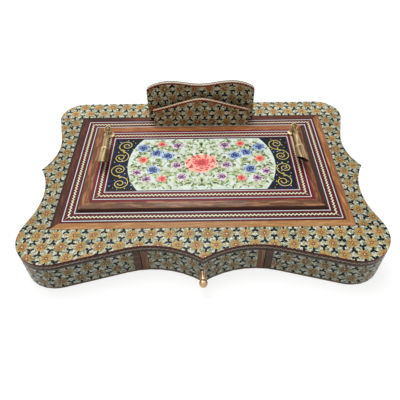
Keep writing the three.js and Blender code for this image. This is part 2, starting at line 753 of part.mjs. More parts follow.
function addKnob(drawer) {
  const waistAngle = THREE.MathUtils.radToDeg(Math.asin(KNOB_WAIST_RADIUS / KNOB_BALL_RADIUS));
  const profile = [
    [0, -KNOB_SHANK_LENGTH],
    [KNOB_SHANK_RADIUS, -KNOB_SHANK_LENGTH],
    [KNOB_SHANK_RADIUS, 0],
    [KNOB_BASE_RADIUS, 0],
    [KNOB_BASE_RADIUS, KNOB_BASE_THICKNESS],
    ...sphereProfile(KNOB_BALL_RADIUS, KNOB_BALL_CENTRE, 180 - waistAngle, 0, BALL_STEPS),
  ];
  const knob = turned(profile, (a, along, b) => [a, knobSeatY - along, knobZ + b]);
  addPiece('drawer_knob', knob, 'brass', drawer);
}

// Pen funnels

const socketRadius = BALL_RADIUS + METAL_GAP;
const socketOuterRadius = socketRadius + SOCKET_WALL;
const baseTopZ = raisedTopZ + PEN_BASE_HEIGHT;
const socketFootZ = baseTopZ + METAL_GAP;
const ballZ = socketFootZ + SOCKET_FLOOR + socketRadius;
const funnelStart = socketOuterRadius + STEM_REACH;

// The base stands on the raised strips, its shank goes down into the top board and its pivot carries
// the socket
function penBase(x) {
  const shankTipZ = shankHoleZ + METAL_GAP;
  const pivotTopZ = socketFootZ + SOCKET_FLOOR - PIVOT_RECESS;
  const profile = [
    [0, shankTipZ],
    [PEN_SHANK_RADIUS, shankTipZ],
    [PEN_SHANK_RADIUS, raisedTopZ],
    [PEN_FLANGE_RADIUS, raisedTopZ],
    [PEN_FLANGE_RADIUS, raisedTopZ + PEN_FLANGE_THICKNESS],
    [PEN_NECK_RADIUS, baseTopZ - PEN_NECK_LENGTH],
    [PEN_NECK_RADIUS, baseTopZ],
    [PIVOT_RADIUS, baseTopZ],
    [PIVOT_RADIUS, pivotTopZ],
    [0, pivotTopZ],
  ];
  return turned(profile, (a, z, b) => [x + a, penY - b, z]);
}

// The socket is a shell round the ball, open where the stem swings, on a foot with a bore for the pivot.
// The foot's rim ends half way into the shell's wall.
function penSocket() {
  const middle = radians((PEN_TILT_UP - PEN_TILT_DOWN) / 2);
  const swing = (PEN_TILT_UP + PEN_TILT_DOWN) / 2;
  const stemSpace = Math.asin((STEM_RADIUS + METAL_GAP) / socketRadius);
  const opening = swing + THREE.MathUtils.radToDeg(stemSpace);
  const tilted = (a, along, b) => [
    a,
    -along * Math.cos(middle) - b * Math.sin(middle),
    along * Math.sin(middle) - b * Math.cos(middle),
  ];
  const profile = [
    ...sphereProfile(socketOuterRadius, 0, 180, opening, SOCKET_STEPS),
    ...sphereProfile(socketRadius, 0, opening, 180, SOCKET_STEPS),
  ];
  const shell = turned([...profile, profile[0]], tilted);
  const hollowBall = turned(sphereProfile(socketRadius, 0, 180, 0, 2 * BALL_STEPS), tilted);
  const footLow = socketFootZ - ballZ;
  const wallMiddle = socketRadius + SOCKET_WALL / 2;
  const footHigh = -Math.sqrt(wallMiddle ** 2 - PEN_NECK_RADIUS ** 2);
  const foot = uprightRod(PEN_NECK_RADIUS, 0, 0, footLow, footHigh);
  const bore = uprightRod(PIVOT_RADIUS + METAL_GAP, 0, 0, footLow - CUT_OVERRUN, 0);
  const footSolid = toSolid(foot).subtract(toSolid(hollowBall));
  return toGeometry(toSolid(shell).add(footSolid).subtract(toSolid(bore)));
}

function ballAndStem() {
  const stemAngle = THREE.MathUtils.radToDeg(Math.asin(STEM_RADIUS / BALL_RADIUS));
  const collarEnd = funnelStart - METAL_GAP;
  const headStart = funnelStart + FUNNEL_END_WALL + METAL_GAP;
  const headEnd = headStart + STEM_COLLAR_LENGTH;
  const profile = [
    ...sphereProfile(BALL_RADIUS, 0, 180, stemAngle, 2 * BALL_STEPS),
    [STEM_RADIUS, collarEnd - STEM_COLLAR_LENGTH],
    [STEM_COLLAR_RADIUS, collarEnd - STEM_COLLAR_LENGTH],
    [STEM_COLLAR_RADIUS, collarEnd],
    [STEM_RADIUS, collarEnd],
    [STEM_RADIUS, headStart],
    [STEM_COLLAR_RADIUS, headStart],
    [STEM_COLLAR_RADIUS, headEnd],
    [0, headEnd],
  ];
  return turned(profile, (a, along, b) => [a, -along, b]);
}

function funnel() {
  const bore = STEM_RADIUS + METAL_GAP;
  const tailEnd = funnelStart + FUNNEL_END_WALL;
  const neckEnd = funnelStart + FUNNEL_NECK_LENGTH;
  const ringEnd = neckEnd + FUNNEL_RING_LENGTH;
  const mouth = funnelStart + FUNNEL_LENGTH;
  const profile = [
    [bore, funnelStart],
    [FUNNEL_TAIL_RADIUS - FUNNEL_WALL, funnelStart],
    [FUNNEL_TAIL_RADIUS, tailEnd],
    [FUNNEL_NECK_RADIUS, neckEnd],
    [FUNNEL_RING_RADIUS, neckEnd],
    [FUNNEL_RING_RADIUS, ringEnd],
    [FUNNEL_MOUTH_RADIUS, mouth],
    [FUNNEL_MOUTH_RADIUS - FUNNEL_WALL, mouth],
    [FUNNEL_RING_RADIUS - FUNNEL_WALL, ringEnd],
    [FUNNEL_NECK_RADIUS - FUNNEL_WALL, neckEnd],
    [FUNNEL_TAIL_RADIUS - FUNNEL_WALL, tailEnd],
    [bore, tailEnd],
    [bore, funnelStart],
  ];
  const whole = turned(profile, (a, along, b) => [a, -along, b]);
  // The mouth is cut on the slant, so its lip is long on top
  const slant = radians(FUNNEL_LIP_SLANT);
  const middle = mouth - FUNNEL_MOUTH_RADIUS * Math.tan(slant);
  const reach = 4 * FUNNEL_MOUTH_RADIUS;
  const cutter = new THREE.BoxGeometry(2 * reach, 2 * reach, 2 * reach);
  cutter.translate(0, -reach, 0);
  cutter.rotateX(slant);
  cutter.translate(0, -middle, 0);
  return cutAway(whole, [reshaped(cutter, (x, y, z) => [x, y, z])]);
}

function addPenFunnels() {
  SIDES.forEach(({ name, sign }) => {
    addPiece(`pen_base_${name}`, penBase(sign * penX), 'brass');
    const swivel = new THREE.Group();
    swivel.position.set(sign * penX, penY, ballZ);
    swivel.rotation.z = radians(-sign * PEN_YAW[name]);
    addPiece(`pen_socket_${name}`, penSocket(), 'brass', swivel);
    addPiece(`pen_ball_${name}`, ballAndStem(), 'brass', swivel);
    const cup = addPiece(`pen_funnel_${name}`, funnel(), 'brass', swivel);
    cup.rotation.y = radians(sign * FUNNEL_SPIN[name]);
    object.add(swivel);
  });
}

addCaseBoards();
addCaseWalls();
addFrame();
addCardHolder();
addDrawerHousing();
const drawer = new THREE.Group();
addDrawerFront(drawer);
addDrawerBox(drawer);
addKnob(drawer);
object.add(drawer);
addPenFunnels();

export default object;
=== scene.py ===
"""Looks of the khatam pen holder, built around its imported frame.

Shapes are drawn in millimetres in the frame's axes and turned into metres when a piece is made. The
CAD model gives every outline, so each finer piece lies where its CAD node is.
"""

import math
import random

import bmesh
import bpy
from mathutils import Matrix, Vector
from mathutils.geometry import tessellate_polygon


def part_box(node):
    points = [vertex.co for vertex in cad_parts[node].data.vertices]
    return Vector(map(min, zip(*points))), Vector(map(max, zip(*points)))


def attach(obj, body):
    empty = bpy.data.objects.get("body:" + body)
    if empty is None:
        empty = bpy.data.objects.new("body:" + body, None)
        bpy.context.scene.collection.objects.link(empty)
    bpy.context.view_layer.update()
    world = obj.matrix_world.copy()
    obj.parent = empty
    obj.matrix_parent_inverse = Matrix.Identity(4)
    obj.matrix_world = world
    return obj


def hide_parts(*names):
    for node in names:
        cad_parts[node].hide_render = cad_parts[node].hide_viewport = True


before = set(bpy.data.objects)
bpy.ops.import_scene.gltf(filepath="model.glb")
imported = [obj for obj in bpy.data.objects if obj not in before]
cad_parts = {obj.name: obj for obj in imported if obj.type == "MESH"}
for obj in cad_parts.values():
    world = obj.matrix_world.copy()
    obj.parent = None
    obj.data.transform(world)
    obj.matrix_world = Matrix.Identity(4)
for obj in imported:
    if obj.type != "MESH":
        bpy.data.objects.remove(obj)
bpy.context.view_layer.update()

MM = 0.001
X, Y, Z = range(3)
NO_TINT = (0, 0, 0)
ORIGIN = Vector((0, 0))
SMOOTH_ANGLE = math.radians(32)
SHARPEST_MITRE = 0.2


def box_mm(node):
    """A CAD node's lowest and highest corners, in millimetres."""
    return [Vector(corner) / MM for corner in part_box(node)]


# Heights and insets of the CAD model, in millimetres
TOP_BOARD_LOW, TOP_BOARD_HIGH = (corner.z for corner in box_mm("top_board"))
TOP_SKIN_HIGH = TOP_BOARD_HIGH + 1.0
STRIP_HIGH = TOP_BOARD_HIGH + 1.3
CORE_HIGH = TOP_BOARD_HIGH + 2.7
RAISED_HIGH = TOP_BOARD_HIGH + 4.0
WALL_LOW = 3.0
SKIN = 1.0
SKIN_BEVEL = 0.12
BAND_THICKNESS = 1.2
FRAME_X = 140.0
FRAME_LOW_Y = -81.2
FRAME_HIGH_Y = 91.2
BORDER_WIDTH = 7.0
MOULDING_INSET = 21.0
MOULDING_FOOT = 4.5
INNER_INLAY_INSET = 31.4
SIDE_CUSP_Y = 0.7
BACK_STRAIGHT_X = box_mm("khatam_back")[1].x
WALL_SKIN_X = box_mm("khatam_front_right")[0].x
DRAWER_SKIN_X = box_mm("drawer_khatam")[1].x

# The star lattice of the khatam: how far apart stars are in a row, and how far apart the rows are
STAR_PITCH = 16.8
STAR_ROW = 11.8
SIDE_ROW_Z = TOP_BOARD_LOW - 19.6
TAUPE_WIDTH = 1.3


# ---------------------------------------------------------------- meshes

def add_object(name, data):
    """A new object in the scene."""
    obj = bpy.data.objects.new(name, data)
    bpy.context.scene.collection.objects.link(obj)
    return obj


class Shape:
    """The points and faces of one piece. Each face corner has a place on the pattern map."""

    def __init__(self):
        self.points, self.tints = [], []
        self.faces, self.slots, self.places = [], [], []

    def point(self, spot, tint=NO_TINT):
        self.points.append(Vector(spot))
        self.tints.append(tint)
        return len(self.points) - 1

    def face(self, corners, places, slot=0):
        self.faces.append(tuple(corners))
        self.places.extend(places)
        self.slots.append(slot)

    def piece(self, name, materials, body="case", replaces=(), slot="inlay"):
        """Makes the mesh, turns its faces outwards and lets it ride on its body."""
        mesh = bpy.data.meshes.new(name)
        mesh.from_pydata([p * MM for p in self.points], [], self.faces)
        pattern = mesh.uv_layers.new(name="pattern")
        for corner, place in zip(pattern.data, self.places):
            corner.uv = place
        mesh.polygons.foreach_set("material_index", self.slots)
        mesh.polygons.foreach_set("use_smooth", [True] * len(self.faces))
        if any(any(t) for t in self.tints):
            paint = mesh.color_attributes.new("paint", "FLOAT_COLOR", "POINT")
            for cell, tint in zip(paint.data, self.tints):
                cell.color = (*tint, 1)
        for material in materials:
            mesh.materials.append(material)
        work = bmesh.new()
        work.from_mesh(mesh)
        bmesh.ops.recalc_face_normals(work, faces=work.faces)
        work.to_mesh(mesh)
        work.free()
        mesh.set_sharp_from_angle(angle=SMOOTH_ANGLE)
        obj = add_object(name, mesh)
        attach(obj, body)
        if replaces:
            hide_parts(*replaces)


def mitres(line, closed):
    """For each point of a plane line, the vector that moves it to a line one unit to its left."""
    count = len(line)
    found = []
    for i, spot in enumerate(line):
        sides = []
        if closed or i > 0:
            sides.append((spot - line[i - 1]).normalized().orthogonal())
        if closed or i < count - 1:
            sides.append((line[(i + 1) % count] - spot).normalized().orthogonal())
        mean = sum(sides, ORIGIN).normalized()
        found.append(mean / max(SHARPEST_MITRE, mean.dot(sides[0])))
    return found


def running_length(line, closed=False):
    """How far along the line each point is, and for a closed line also its whole length."""
    found = [0.0]
    for a, b in zip(line, line[1:] + line[:1] if closed else line[1:]):
        found.append(found[-1] + (b - a).length)
    return found


def fitted(line, period, closed=False):
    """The scale at which a line's length is a whole number of periods."""
    whole = running_length(line, closed)[-1]
    return round(whole / period) * period / whole


def flat_lift(spot, height):
    """A plan point at a height."""
    return Vector((spot.x, spot.y, height))


def upright_lift(spot, depth):
    """A point drawn as (x, z), at a depth along Y."""
    return Vector((spot.x, depth, spot.y))


def sweep(shape, line, section, lift, closed=False, mitre=None, length_scale=1.0, start=0.0, tint=NO_TINT):
    """Carries a section along a line. The section's rows are (inset, level, place, slot of the face that
    follows), and place is what the pattern map gets across the line."""
    sides = mitre or mitres(line, closed)
    along = [(start + a) * length_scale for a in running_length(line, closed)]
    rows = [
        [shape.point(lift(spot + side * inset, level), tint) for inset, level, _, _ in section]
        for spot, side in zip(line, sides)
    ]
    for i in range(len(along) - 1):
        a, b = rows[i], rows[(i + 1) % len(rows)]
        for j, (_, level, low, slot) in enumerate(section):
            k = (j + 1) % len(section)
            high = section[k][2] if k else low + abs(level - section[k][1])
            places = ((along[i], low), (along[i + 1], low), (along[i + 1], high), (along[i], high))
            shape.face((a[j], b[j], b[k], a[k]), places, slot)
    if not closed:
        for row in (rows[0], rows[-1]):
            shape.face(row, [(along[0], s[2]) for s in section], section[-1][3])


def plate(shape, outline, low, high, lift, place, bevel, edge_slot=0, face_slot=0, tint=lambda spot: NO_TINT):
    """A plate of any outline with an eased upper edge. The high side may be below the low one."""
    sides = mitres(outline, True)
    down = -bevel if high > low else bevel
    flat = [spot + side * bevel for spot, side in zip(outline, sides)]
    rings = [
        [shape.point(lift(spot, low), tint(spot)) for spot in outline],
        [shape.point(lift(spot, high + down), tint(spot)) for spot in outline],
        [shape.point(lift(inner, high), tint(spot)) for spot, inner in zip(outline, flat)],
    ]
    for below, above in zip(rings, rings[1:]):
        for i in range(len(outline)):
            k = (i + 1) % len(outline)
            places = (place(outline[i]), place(outline[k]), place(flat[k]), place(flat[i]))
            shape.face((below[i], below[k], above[k], above[i]), places, edge_slot)
    for ring, spots in ((rings[0], outline), (rings[2], flat)):
        for triangle in tessellate_polygon([[s.to_3d() for s in spots]]):
            shape.face([ring[i] for i in triangle], [place(spots[i]) for i in triangle], face_slot)


def lathe(shape, profile, transform, steps=48, closed=False, lit=(0, 0), lit_radius=0.0):
    """Turns a profile of (radius, distance along the axis) round the local Z axis. The profile is a list,
    or gives one for each angle. Outer faces between the lit distances take the second material."""
    turns = [math.tau * i / steps for i in range(steps)]
    columns = [profile(turn) if callable(profile) else profile for turn in turns]
    first = columns[0]
    runs = [0.0]
    for a, b in zip(first, first[1:]):
        runs.append(runs[-1] + math.dist(a, b))
    rings = []
    for n, (radius, _) in enumerate(first):
        spots = [
            Vector((c[n][0] * math.cos(turn), c[n][0] * math.sin(turn), c[n][1]))
            for c, turn in zip(columns, turns)
        ]
        at_pole = radius < 1e-6
        rings.append([shape.point(transform @ spot) for spot in (spots[:1] if at_pole else spots)])
    count = len(rings)
    for a in range(count if closed else count - 1):
        b = (a + 1) % count
        slot = int(lit[0] <= min(first[a][1], first[b][1]) < lit[1] and first[a][0] > lit_radius)
        for i in range(steps):
            k = (i + 1) % steps
            corners = [(a, i), (a, k), (b, k), (b, i)]
            if len(rings[a]) == 1:
                corners = [(a, 0), (b, k), (b, i)]
            elif len(rings[b]) == 1:
                corners = [(a, i), (a, k), (b, 0)]
            shape.face([rings[n][m] for n, m in corners], [(m / steps, runs[n]) for n, m in corners], slot)


def arc(centre, radius, start, end, steps):
    """Points of an arc in the plane of a section or profile, by angles in degrees."""
    angles = [math.radians(start + (end - start) * i / steps) for i in range(steps + 1)]
    return [(centre[0] + radius * math.cos(a), centre[1] + radius * math.sin(a)) for a in angles]


def round_profile(radius, start, end, steps, centre=(0.0, 0.0)):
    """Part of a ball's profile, by angles from the axis in degrees."""
    return [(abs(x), y) for x, y in arc(centre, radius, 90 - start, 90 - end, steps)]


# ---------------------------------------------------------------- outlines from the frame

STRAIGHT_RATIO = 3.0
CURVE_PARTS = 3


def node_points(node, axis, level):
    """The points of a CAD node on one of its planes, in millimetres, without the plane's axis."""
    spots = set()
    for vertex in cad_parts[node].data.vertices:
        spot = vertex.co / MM
        if abs(spot[axis] - level) < 0.02:
            spots.add(tuple(round(c, 3) for n, c in enumerate(spot) if n != axis))
    return [Vector(s) for s in spots]


def in_order(spots, centre):
    """Points of a star-shaped outline, counter-clockwise."""
    return sorted(spots, key=lambda s: math.atan2(s.y - centre.y, s.x - centre.x))


def refined(line, closed, sharp=25):
    """The line with each segment divided on a smooth curve, apart from where it turns sharply."""
    count = len(line)

    def slope(i, chord):
        """The curve's direction at a point: along the chord at an end or a sharp turn, along the straight
        where one meets a curve, else the mean by length."""
        before, after = line[i] - line[i - 1], line[(i + 1) % count] - line[i]
        at_end = not closed and i in (0, count - 1)
        if at_end or math.degrees(before.angle(after)) > sharp:
            return chord
        longer, shorter = sorted((before, after), key=lambda side: -side.length)
        if longer.length > STRAIGHT_RATIO * shorter.length:
            mean = longer
        else:
            mean = before * after.length_squared + after * before.length_squared
        return mean.normalized() * chord.length

    fine = []
    for i in range(count if closed else count - 1):
        a, b = line[i], line[(i + 1) % count]
        m, n = slope(i, b - a), slope((i + 1) % count, b - a)
        for part in range(CURVE_PARTS):
            t = part / CURVE_PARTS
            fine.append(
                a * (2 * t ** 3 - 3 * t ** 2 + 1) + m * (t ** 3 - 2 * t ** 2 + t)
                + b * (3 * t ** 2 - 2 * t ** 3) + n * (t ** 3 - t ** 2))
    return fine if closed else fine + [line[-1]]


OUTLINE = refined(in_order(node_points("bottom_board", Z, WALL_LOW), ORIGIN), True)


def cut_at(line, axis, level):
    """The closed line with a point added wherever it crosses a level of x or y."""
    out = []
    for a, b in zip(line, line[1:] + line[:1]):
        out.append(a)
        low, high = a[axis] - level, b[axis] - level
        if low * high < 0 and min(abs(low), abs(high)) > 1e-4:
            out.append(a.lerp(b, low / (low - high)))
    return out


def side_of(line, axis, level, sign):
    """The part of a closed outline on one side of a level."""
    return [s for s in cut_at(line, axis, level) if (s[axis] - level) * sign > -1e-3]


# ---------------------------------------------------------------- node trees

def rgb(*levels):
    """An sRGB colour from 0 to 255 as a linear one."""
    shares = [level / 255 for level in levels]
    return tuple(c / 12.92 if c <= 0.04045 else ((c + 0.055) / 1.055) ** 2.4 for c in shares)


def arithmetic(operation, swapped=False):
    """A method that joins two values with a Math node."""
    def join(self, other):
        return self.graph.math(operation, *((other, self) if swapped else (self, other)))
    return join


class Value:
    """A number or vector in a material's node tree that works with plain arithmetic."""

    def __init__(self, graph, socket):
        self.graph, self.socket = graph, socket

    __add__ = __radd__ = arithmetic("ADD")
    __mul__ = __rmul__ = arithmetic("MULTIPLY")
    __sub__ = arithmetic("SUBTRACT")
    __rsub__ = arithmetic("SUBTRACT", True)
    __truediv__ = arithmetic("DIVIDE")


# A Mix node's sockets for colours
MIX_SHARE, MIX_FIRST, MIX_SECOND, MIX_RESULT = 0, 6, 7, 2
SIN_60 = 0.866
COAT_ROUGHNESS = 0.06


class Tree:
    """A node tree that is built with formulas."""

    def __init__(self, tree):
        self.tree = tree

    def feed(self, node, inputs):
        """Sets or links a node's inputs, which are given in order or by name."""
        for key, value in inputs.items() if isinstance(inputs, dict) else enumerate(inputs):
            socket = node.inputs[key]
            if isinstance(value, Value):
                self.tree.links.new(value.socket, socket)
            else:
                socket.default_value = (*value, 1) if socket.type == "RGBA" else value

    def make(self, kind, inputs=(), out=0, **settings):
        """A new node, of which one output is given."""
        made = self.tree.nodes.new("ShaderNode" + kind)
        for key, value in settings.items():
            setattr(made, key, value)
        self.feed(made, inputs)
        return Value(self, made.outputs[out])

    def math(self, operation, *values):
        return self.make("Math", values, operation=operation)

    def xyz(self, x, y, z=0.0):
        return self.make("CombineXYZ", (x, y, z))

    def parts(self, vector):
        split = self.make("SeparateXYZ", (vector,)).socket.node
        return [Value(self, out) for out in split.outputs]

    def pattern(self):
        """The place on the pattern map."""
        return self.parts(self.make("UVMap", uv_map="pattern"))[:2]

    def place_mm(self):
        """The place in the object, in millimetres."""
        return [part * 1000 for part in self.parts(self.make("TexCoord", out="Object"))]

    def below(self, value, edge, soft=0.06):
        """1 where value is under the edge, falling to 0 over a soft step."""
        ends = (value, edge - soft, edge + soft, 1.0, 0.0)
        return self.make("MapRange", ends, interpolation_type="SMOOTHSTEP")

    def between(self, value, low, high, soft=0.06):
        return self.below(value, high, soft) * (1 - self.below(value, low, soft))

    def above(self, value, edge, soft=0.06):
        return 1 - self.below(value, edge, soft)

    def stretched(self, place, scale):
        """A place as it is, or with each part scaled by its own number, and the scale that is left."""
        if isinstance(scale, tuple):
            return self.xyz(*(part * number for part, number in zip(place, scale))), 1.0
        return place, scale

    def noise(self, place, scale, detail=2.0, distortion=0.0):
        place, scale = self.stretched(place, scale)
        return self.make(
            "TexNoise", {"Vector": place, "Scale": scale, "Detail": detail, "Distortion": distortion})

    def flecks(self, place, scale):
        """A random number for each small cell."""
        place, scale = self.stretched(place, scale)
        cells = self.make("TexVoronoi", {"Vector": place, "Scale": scale}, "Color")
        return self.make("SeparateColor", (cells,))

    def chance(self, x, y):
        return self.make("TexWhiteNoise", {"Vector": self.xyz(x, y)}, noise_dimensions="2D")

    def triangles(self, x, y, side):
        """A random number for each triangle of a lattice with a given side."""
        height = side * math.sqrt(3) / 2
        row = self.math("FLOOR", y / height)
        rising = self.math("FLOOR", (x * SIN_60 + y * 0.5) / height)
        falling = self.math("FLOOR", (x * SIN_60 - y * 0.5) / height)
        return self.chance(row + rising * 17.3, falling)

    def mix(self, share, first, second, blend="MIX"):
        inputs = {MIX_SHARE: share, MIX_FIRST: first, MIX_SECOND: second}
        return self.make("Mix", inputs, MIX_RESULT, data_type="RGBA", blend_type=blend)

    def shade(self, colour, amount):
        """The colour made lighter or darker by a number about 1."""
        return self.mix(1.0, colour, self.make("CombineColor", (amount,) * 3), "MULTIPLY")


class Graph(Tree):
    """A new material with one principled shader, whose inputs are set by formulas."""

    def __init__(self, name, specular=0.25, metallic=0.0, coat=0.0):
        self.material = bpy.data.materials.new(name)
        self.material.use_nodes = True
        super().__init__(self.material.node_tree)
        self.shader = self.tree.nodes["Principled BSDF"]
        self.feed(self.shader, {
            "Specular IOR Level": specular, "Metallic": metallic, "Coat Weight": coat,
            "Coat Roughness": COAT_ROUGHNESS})

    def finish(self, colour, roughness, bump=None, bump_depth=0.02):
        self.feed(self.shader, {"Base Color": colour, "Roughness": roughness})
        if bump:
            relief = {"Strength": 1.0, "Distance": bump_depth * MM, "Height": bump}
            self.feed(self.shader, {"Normal": self.make("Bump", relief)})
        return self.material


# ---------------------------------------------------------------- khatam

KHATAM_GROUND = rgb(178, 184, 156)
KHATAM_PALE = rgb(228, 228, 208)
KHATAM_GREEN = rgb(84, 96, 70)
TREFOIL = rgb(8, 11, 9)
STRAW = rgb(208, 170, 112)
STAR_RING = rgb(104, 56, 30)
STAR_FILL = rgb(190, 168, 96)
IVORY = rgb(236, 232, 218)
STAR_REACH = 5.2
HEXAGON_REACH = STAR_REACH * 0.9
RIM_WIDTH = 0.7
LOBE_OFFSET = 1.8
LOBE_LENGTH = 1.85
LOBE_WIDTH = 1.12
CHIP_SIDE = 1.9
CHIP_EDGE = 0.02


def folded(graph, x, y, degrees):
    """The point mirrored in a line through the origin if it lies to the line's left."""
    a, b = math.sin(math.radians(degrees)), math.cos(math.radians(degrees))
    over = graph.math("MAXIMUM", y * b - x * a, 0.0) * 2
    return x + over * a, y - over * b


def trefoil(graph, x, y):
    """1 inside a leaf with three lobes, one of which points along +Y. x isn't negative."""
    x, y = folded(graph, x, y, 30)
    a, b = math.cos(math.radians(30)), math.sin(math.radians(30))
    out = (x * a - y * b - LOBE_OFFSET) / LOBE_LENGTH
    across = (x * b + y * a) / LOBE_WIDTH
    return graph.below(out * out + across * across, 1.0, 0.12)


def nearest_star(g, u, v):
    """The way in millimetres from the nearest star, of two grids of them, and a random number for it."""
    grids = []
    for offset in (0.0, 0.5):
        column, row = (g.math("ROUND", part - offset) for part in (u, v))
        x = (u - column - offset) * STAR_PITCH
        y = (v - row - offset) * (2 * STAR_ROW)
        grids.append((x, y, column + offset, row + offset))
    lengths = [x * x + y * y for x, y, _, _ in grids]
    second_nearer = g.math("LESS_THAN", lengths[1], lengths[0])
    x, y, column, row = (a + (b - a) * second_nearer for a, b in zip(*grids))
    return x, y, g.chance(column, row)


def khatam_material(name, tone, star_light, star_dark, broken=0.25):
    """Marquetry of six-pointed stars and three-lobed leaves. The map's unit is one star across and two
    rows up. The tone is what the whole is multiplied by, which paints shade on some faces and light on
    others, and broken is how much the ground's colours show in the stars."""
    g = Graph(name, specular=0.1)
    u, v = g.pattern()
    spot, other_spot = (g.xyz(u * STAR_PITCH, v * (2 * STAR_ROW), z) for z in (0.0, 9.0))
    u = u + (g.noise(spot, 0.11, 1.0) - 0.5) * 0.05
    v = v + (g.noise(spot, 0.09, 1.0) - 0.5) * 0.04
    x, y, luck = nearest_star(g, u, v)
    chips = g.triangles(u * STAR_PITCH, v * (2 * STAR_ROW), CHIP_SIDE)
    fine = g.flecks(spot, 1.5)

    wavy_x, wavy_y = (
        g.math("ABSOLUTE", part + (g.noise(place, 0.42, 1.0) - 0.5) * 1.9)
        for part, place in ((x, spot), (y, other_spot)))
    leaf_side = trefoil(g, g.math("ABSOLUTE", wavy_x - STAR_PITCH / 2), wavy_y - STAR_ROW / 3)
    leaf_above = trefoil(g, wavy_x, 2 * STAR_ROW / 3 - wavy_y)

    x, y = g.math("ABSOLUTE", x), g.math("ABSOLUTE", y)
    reach = g.math("SQRT", x * x + y * y)
    fx, fy = folded(g, *folded(g, x, y, 60), 30)
    hexagon = fx * SIN_60 + fy * 0.5
    fill = g.below(hexagon, HEXAGON_REACH, 0.15)
    rim = g.between(hexagon, HEXAGON_REACH, HEXAGON_REACH + RIM_WIDTH, 0.12)
    dashes = g.below(g.math("SINE", (fx * SIN_60 - fy * 0.5) * 3.6), 0.2, 0.2)
    star = g.below(fx * 0.5 + fy * SIN_60, STAR_REACH / 2, 0.12)
    rays = g.below(fx * 0.5 - fy * SIN_60, 0.22) * g.between(reach, 1.5, 4.6)
    eye = g.below(reach, 0.3 + luck * 0.5, 0.12)
    diamonds = g.below(g.math("ABSOLUTE", x - STAR_PITCH / 2) + y * 1.4, 1.1, 0.1)

    body = g.shade(g.mix(luck, star_light, star_dark), 0.66 + chips * 0.54)
    body = g.mix(g.between(chips, 0.5, 0.72, CHIP_EDGE) * broken, body, KHATAM_GROUND)
    body = g.mix(g.below(chips, 0.22, CHIP_EDGE) * broken, body, KHATAM_GREEN)
    colour = g.mix(g.below(chips, 0.62, CHIP_EDGE), KHATAM_PALE, KHATAM_GROUND)
    for share, layer in (
        (g.below(chips, 0.22, CHIP_EDGE) * 0.8, KHATAM_GREEN),
        (g.between(chips, 0.3, 0.4, CHIP_EDGE) * 0.9, STRAW),
        (g.below(fine, 0.16, CHIP_EDGE) * 0.6, KHATAM_GREEN),
        (diamonds * 0.7, STRAW),
        (rim * (0.2 + dashes * 0.5), KHATAM_GREEN),
        (fill * 0.85, g.shade(STAR_FILL, 0.7 + chips * 0.5)),
        (star, body),
        (g.below(reach, 2.1, 0.3) * 0.35, STAR_FILL),
        (rays * 0.75, STAR_RING),
        (g.between(reach, 0.7, 1.6, 0.15) * 0.85, STAR_RING),
        (eye * 0.8, IVORY),
        (g.math("MAXIMUM", leaf_side, leaf_above), TREFOIL),
    ):
        colour = g.mix(share, colour, layer)
    patches = g.noise(spot, 0.02) * 0.16
    colour = g.mix(1.0, g.shade(colour, 0.8 + fine * 0.2 + patches), tone, "MULTIPLY")
    return g.finish(colour, 0.3 + chips * 0.16, g.noise(spot, 1.7), 0.03)


# ---------------------------------------------------------------- other materials

EDGE_PERIOD = 3.9
EDGING_PERIOD = 3.3
DARK_PORES = rgb(52, 30, 20)


def zigzag_material(name, line, ground, middle, period, swing, width):
    """A band with a zigzag line. The map runs in millimetres along the band and across it."""
    g = Graph(name)
    u, v = g.pattern()
    spot = g.xyz(u, v)
    wave = g.math("PINGPONG", u, period / 2) * (4 * swing / period) - swing
    away = g.math("ABSOLUTE", v - middle - wave)
    chips = g.flecks(spot, 1.4)
    body = g.shade(g.mix(chips, line, rgb(236, 226, 196)), 0.9 + chips * 0.15)
    back = g.mix(g.flecks(spot, 2.2), ground, rgb(74, 66, 48))
    dots = g.math("PINGPONG", u + period / 4, period / 2) - period / 4
    flank = g.math("ABSOLUTE", v - middle) - swing * 0.95
    specks = g.below(dots * dots + flank * flank, 0.22, 0.08)
    colour = g.mix(specks * 0.7, back, rgb(170, 84, 60))
    return g, v, spot, g.mix(g.below(away, width, 0.1), colour, body)


def edge_band_material():
    """The band round the top board: a zigzag between two lines of dark red wood."""
    g, v, spot, colour = zigzag_material(
        "edge_band", rgb(132, 130, 112), rgb(48, 44, 36), 3.4, EDGE_PERIOD, swing=0.75, width=0.42)
    colour = g.mix(g.below(v, 1.5), colour, rgb(42, 30, 26))
    colour = g.mix(g.above(v, 4.9), colour, rgb(84, 28, 26))
    colour = g.shade(colour, 0.82 + g.noise(spot, 0.6, 3.0) * 0.24)
    return g.finish(colour, 0.34 + g.noise(spot, 0.5) * 0.12, g.noise(spot, 2.0))


def edging_material(name, line, ground):
    """The top of the card holder's boards."""
    g, _, spot, colour = zigzag_material(name, line, ground, 2.6, EDGING_PERIOD, swing=1.2, width=0.8)
    return g.finish(g.shade(colour, 0.9 + g.noise(spot, 0.6, 3.0) * 0.2), 0.4, g.noise(spot, 2.0))


def dyed_material(name, colour, spread, roughness=0.35):
    """A thin strip of dyed wood or bone: fine streaks along the strip."""
    g = Graph(name, specular=0.12)
    place = g.pattern()
    streaks = g.noise(place, (0.12, 2.2), 4.0)
    patches = g.noise(place, (0.03, 0.1))
    amount = (1 - spread) + (streaks + patches) * spread
    return g.finish(g.shade(colour, amount), roughness - 0.08 + streaks * 0.16, streaks, 0.012)


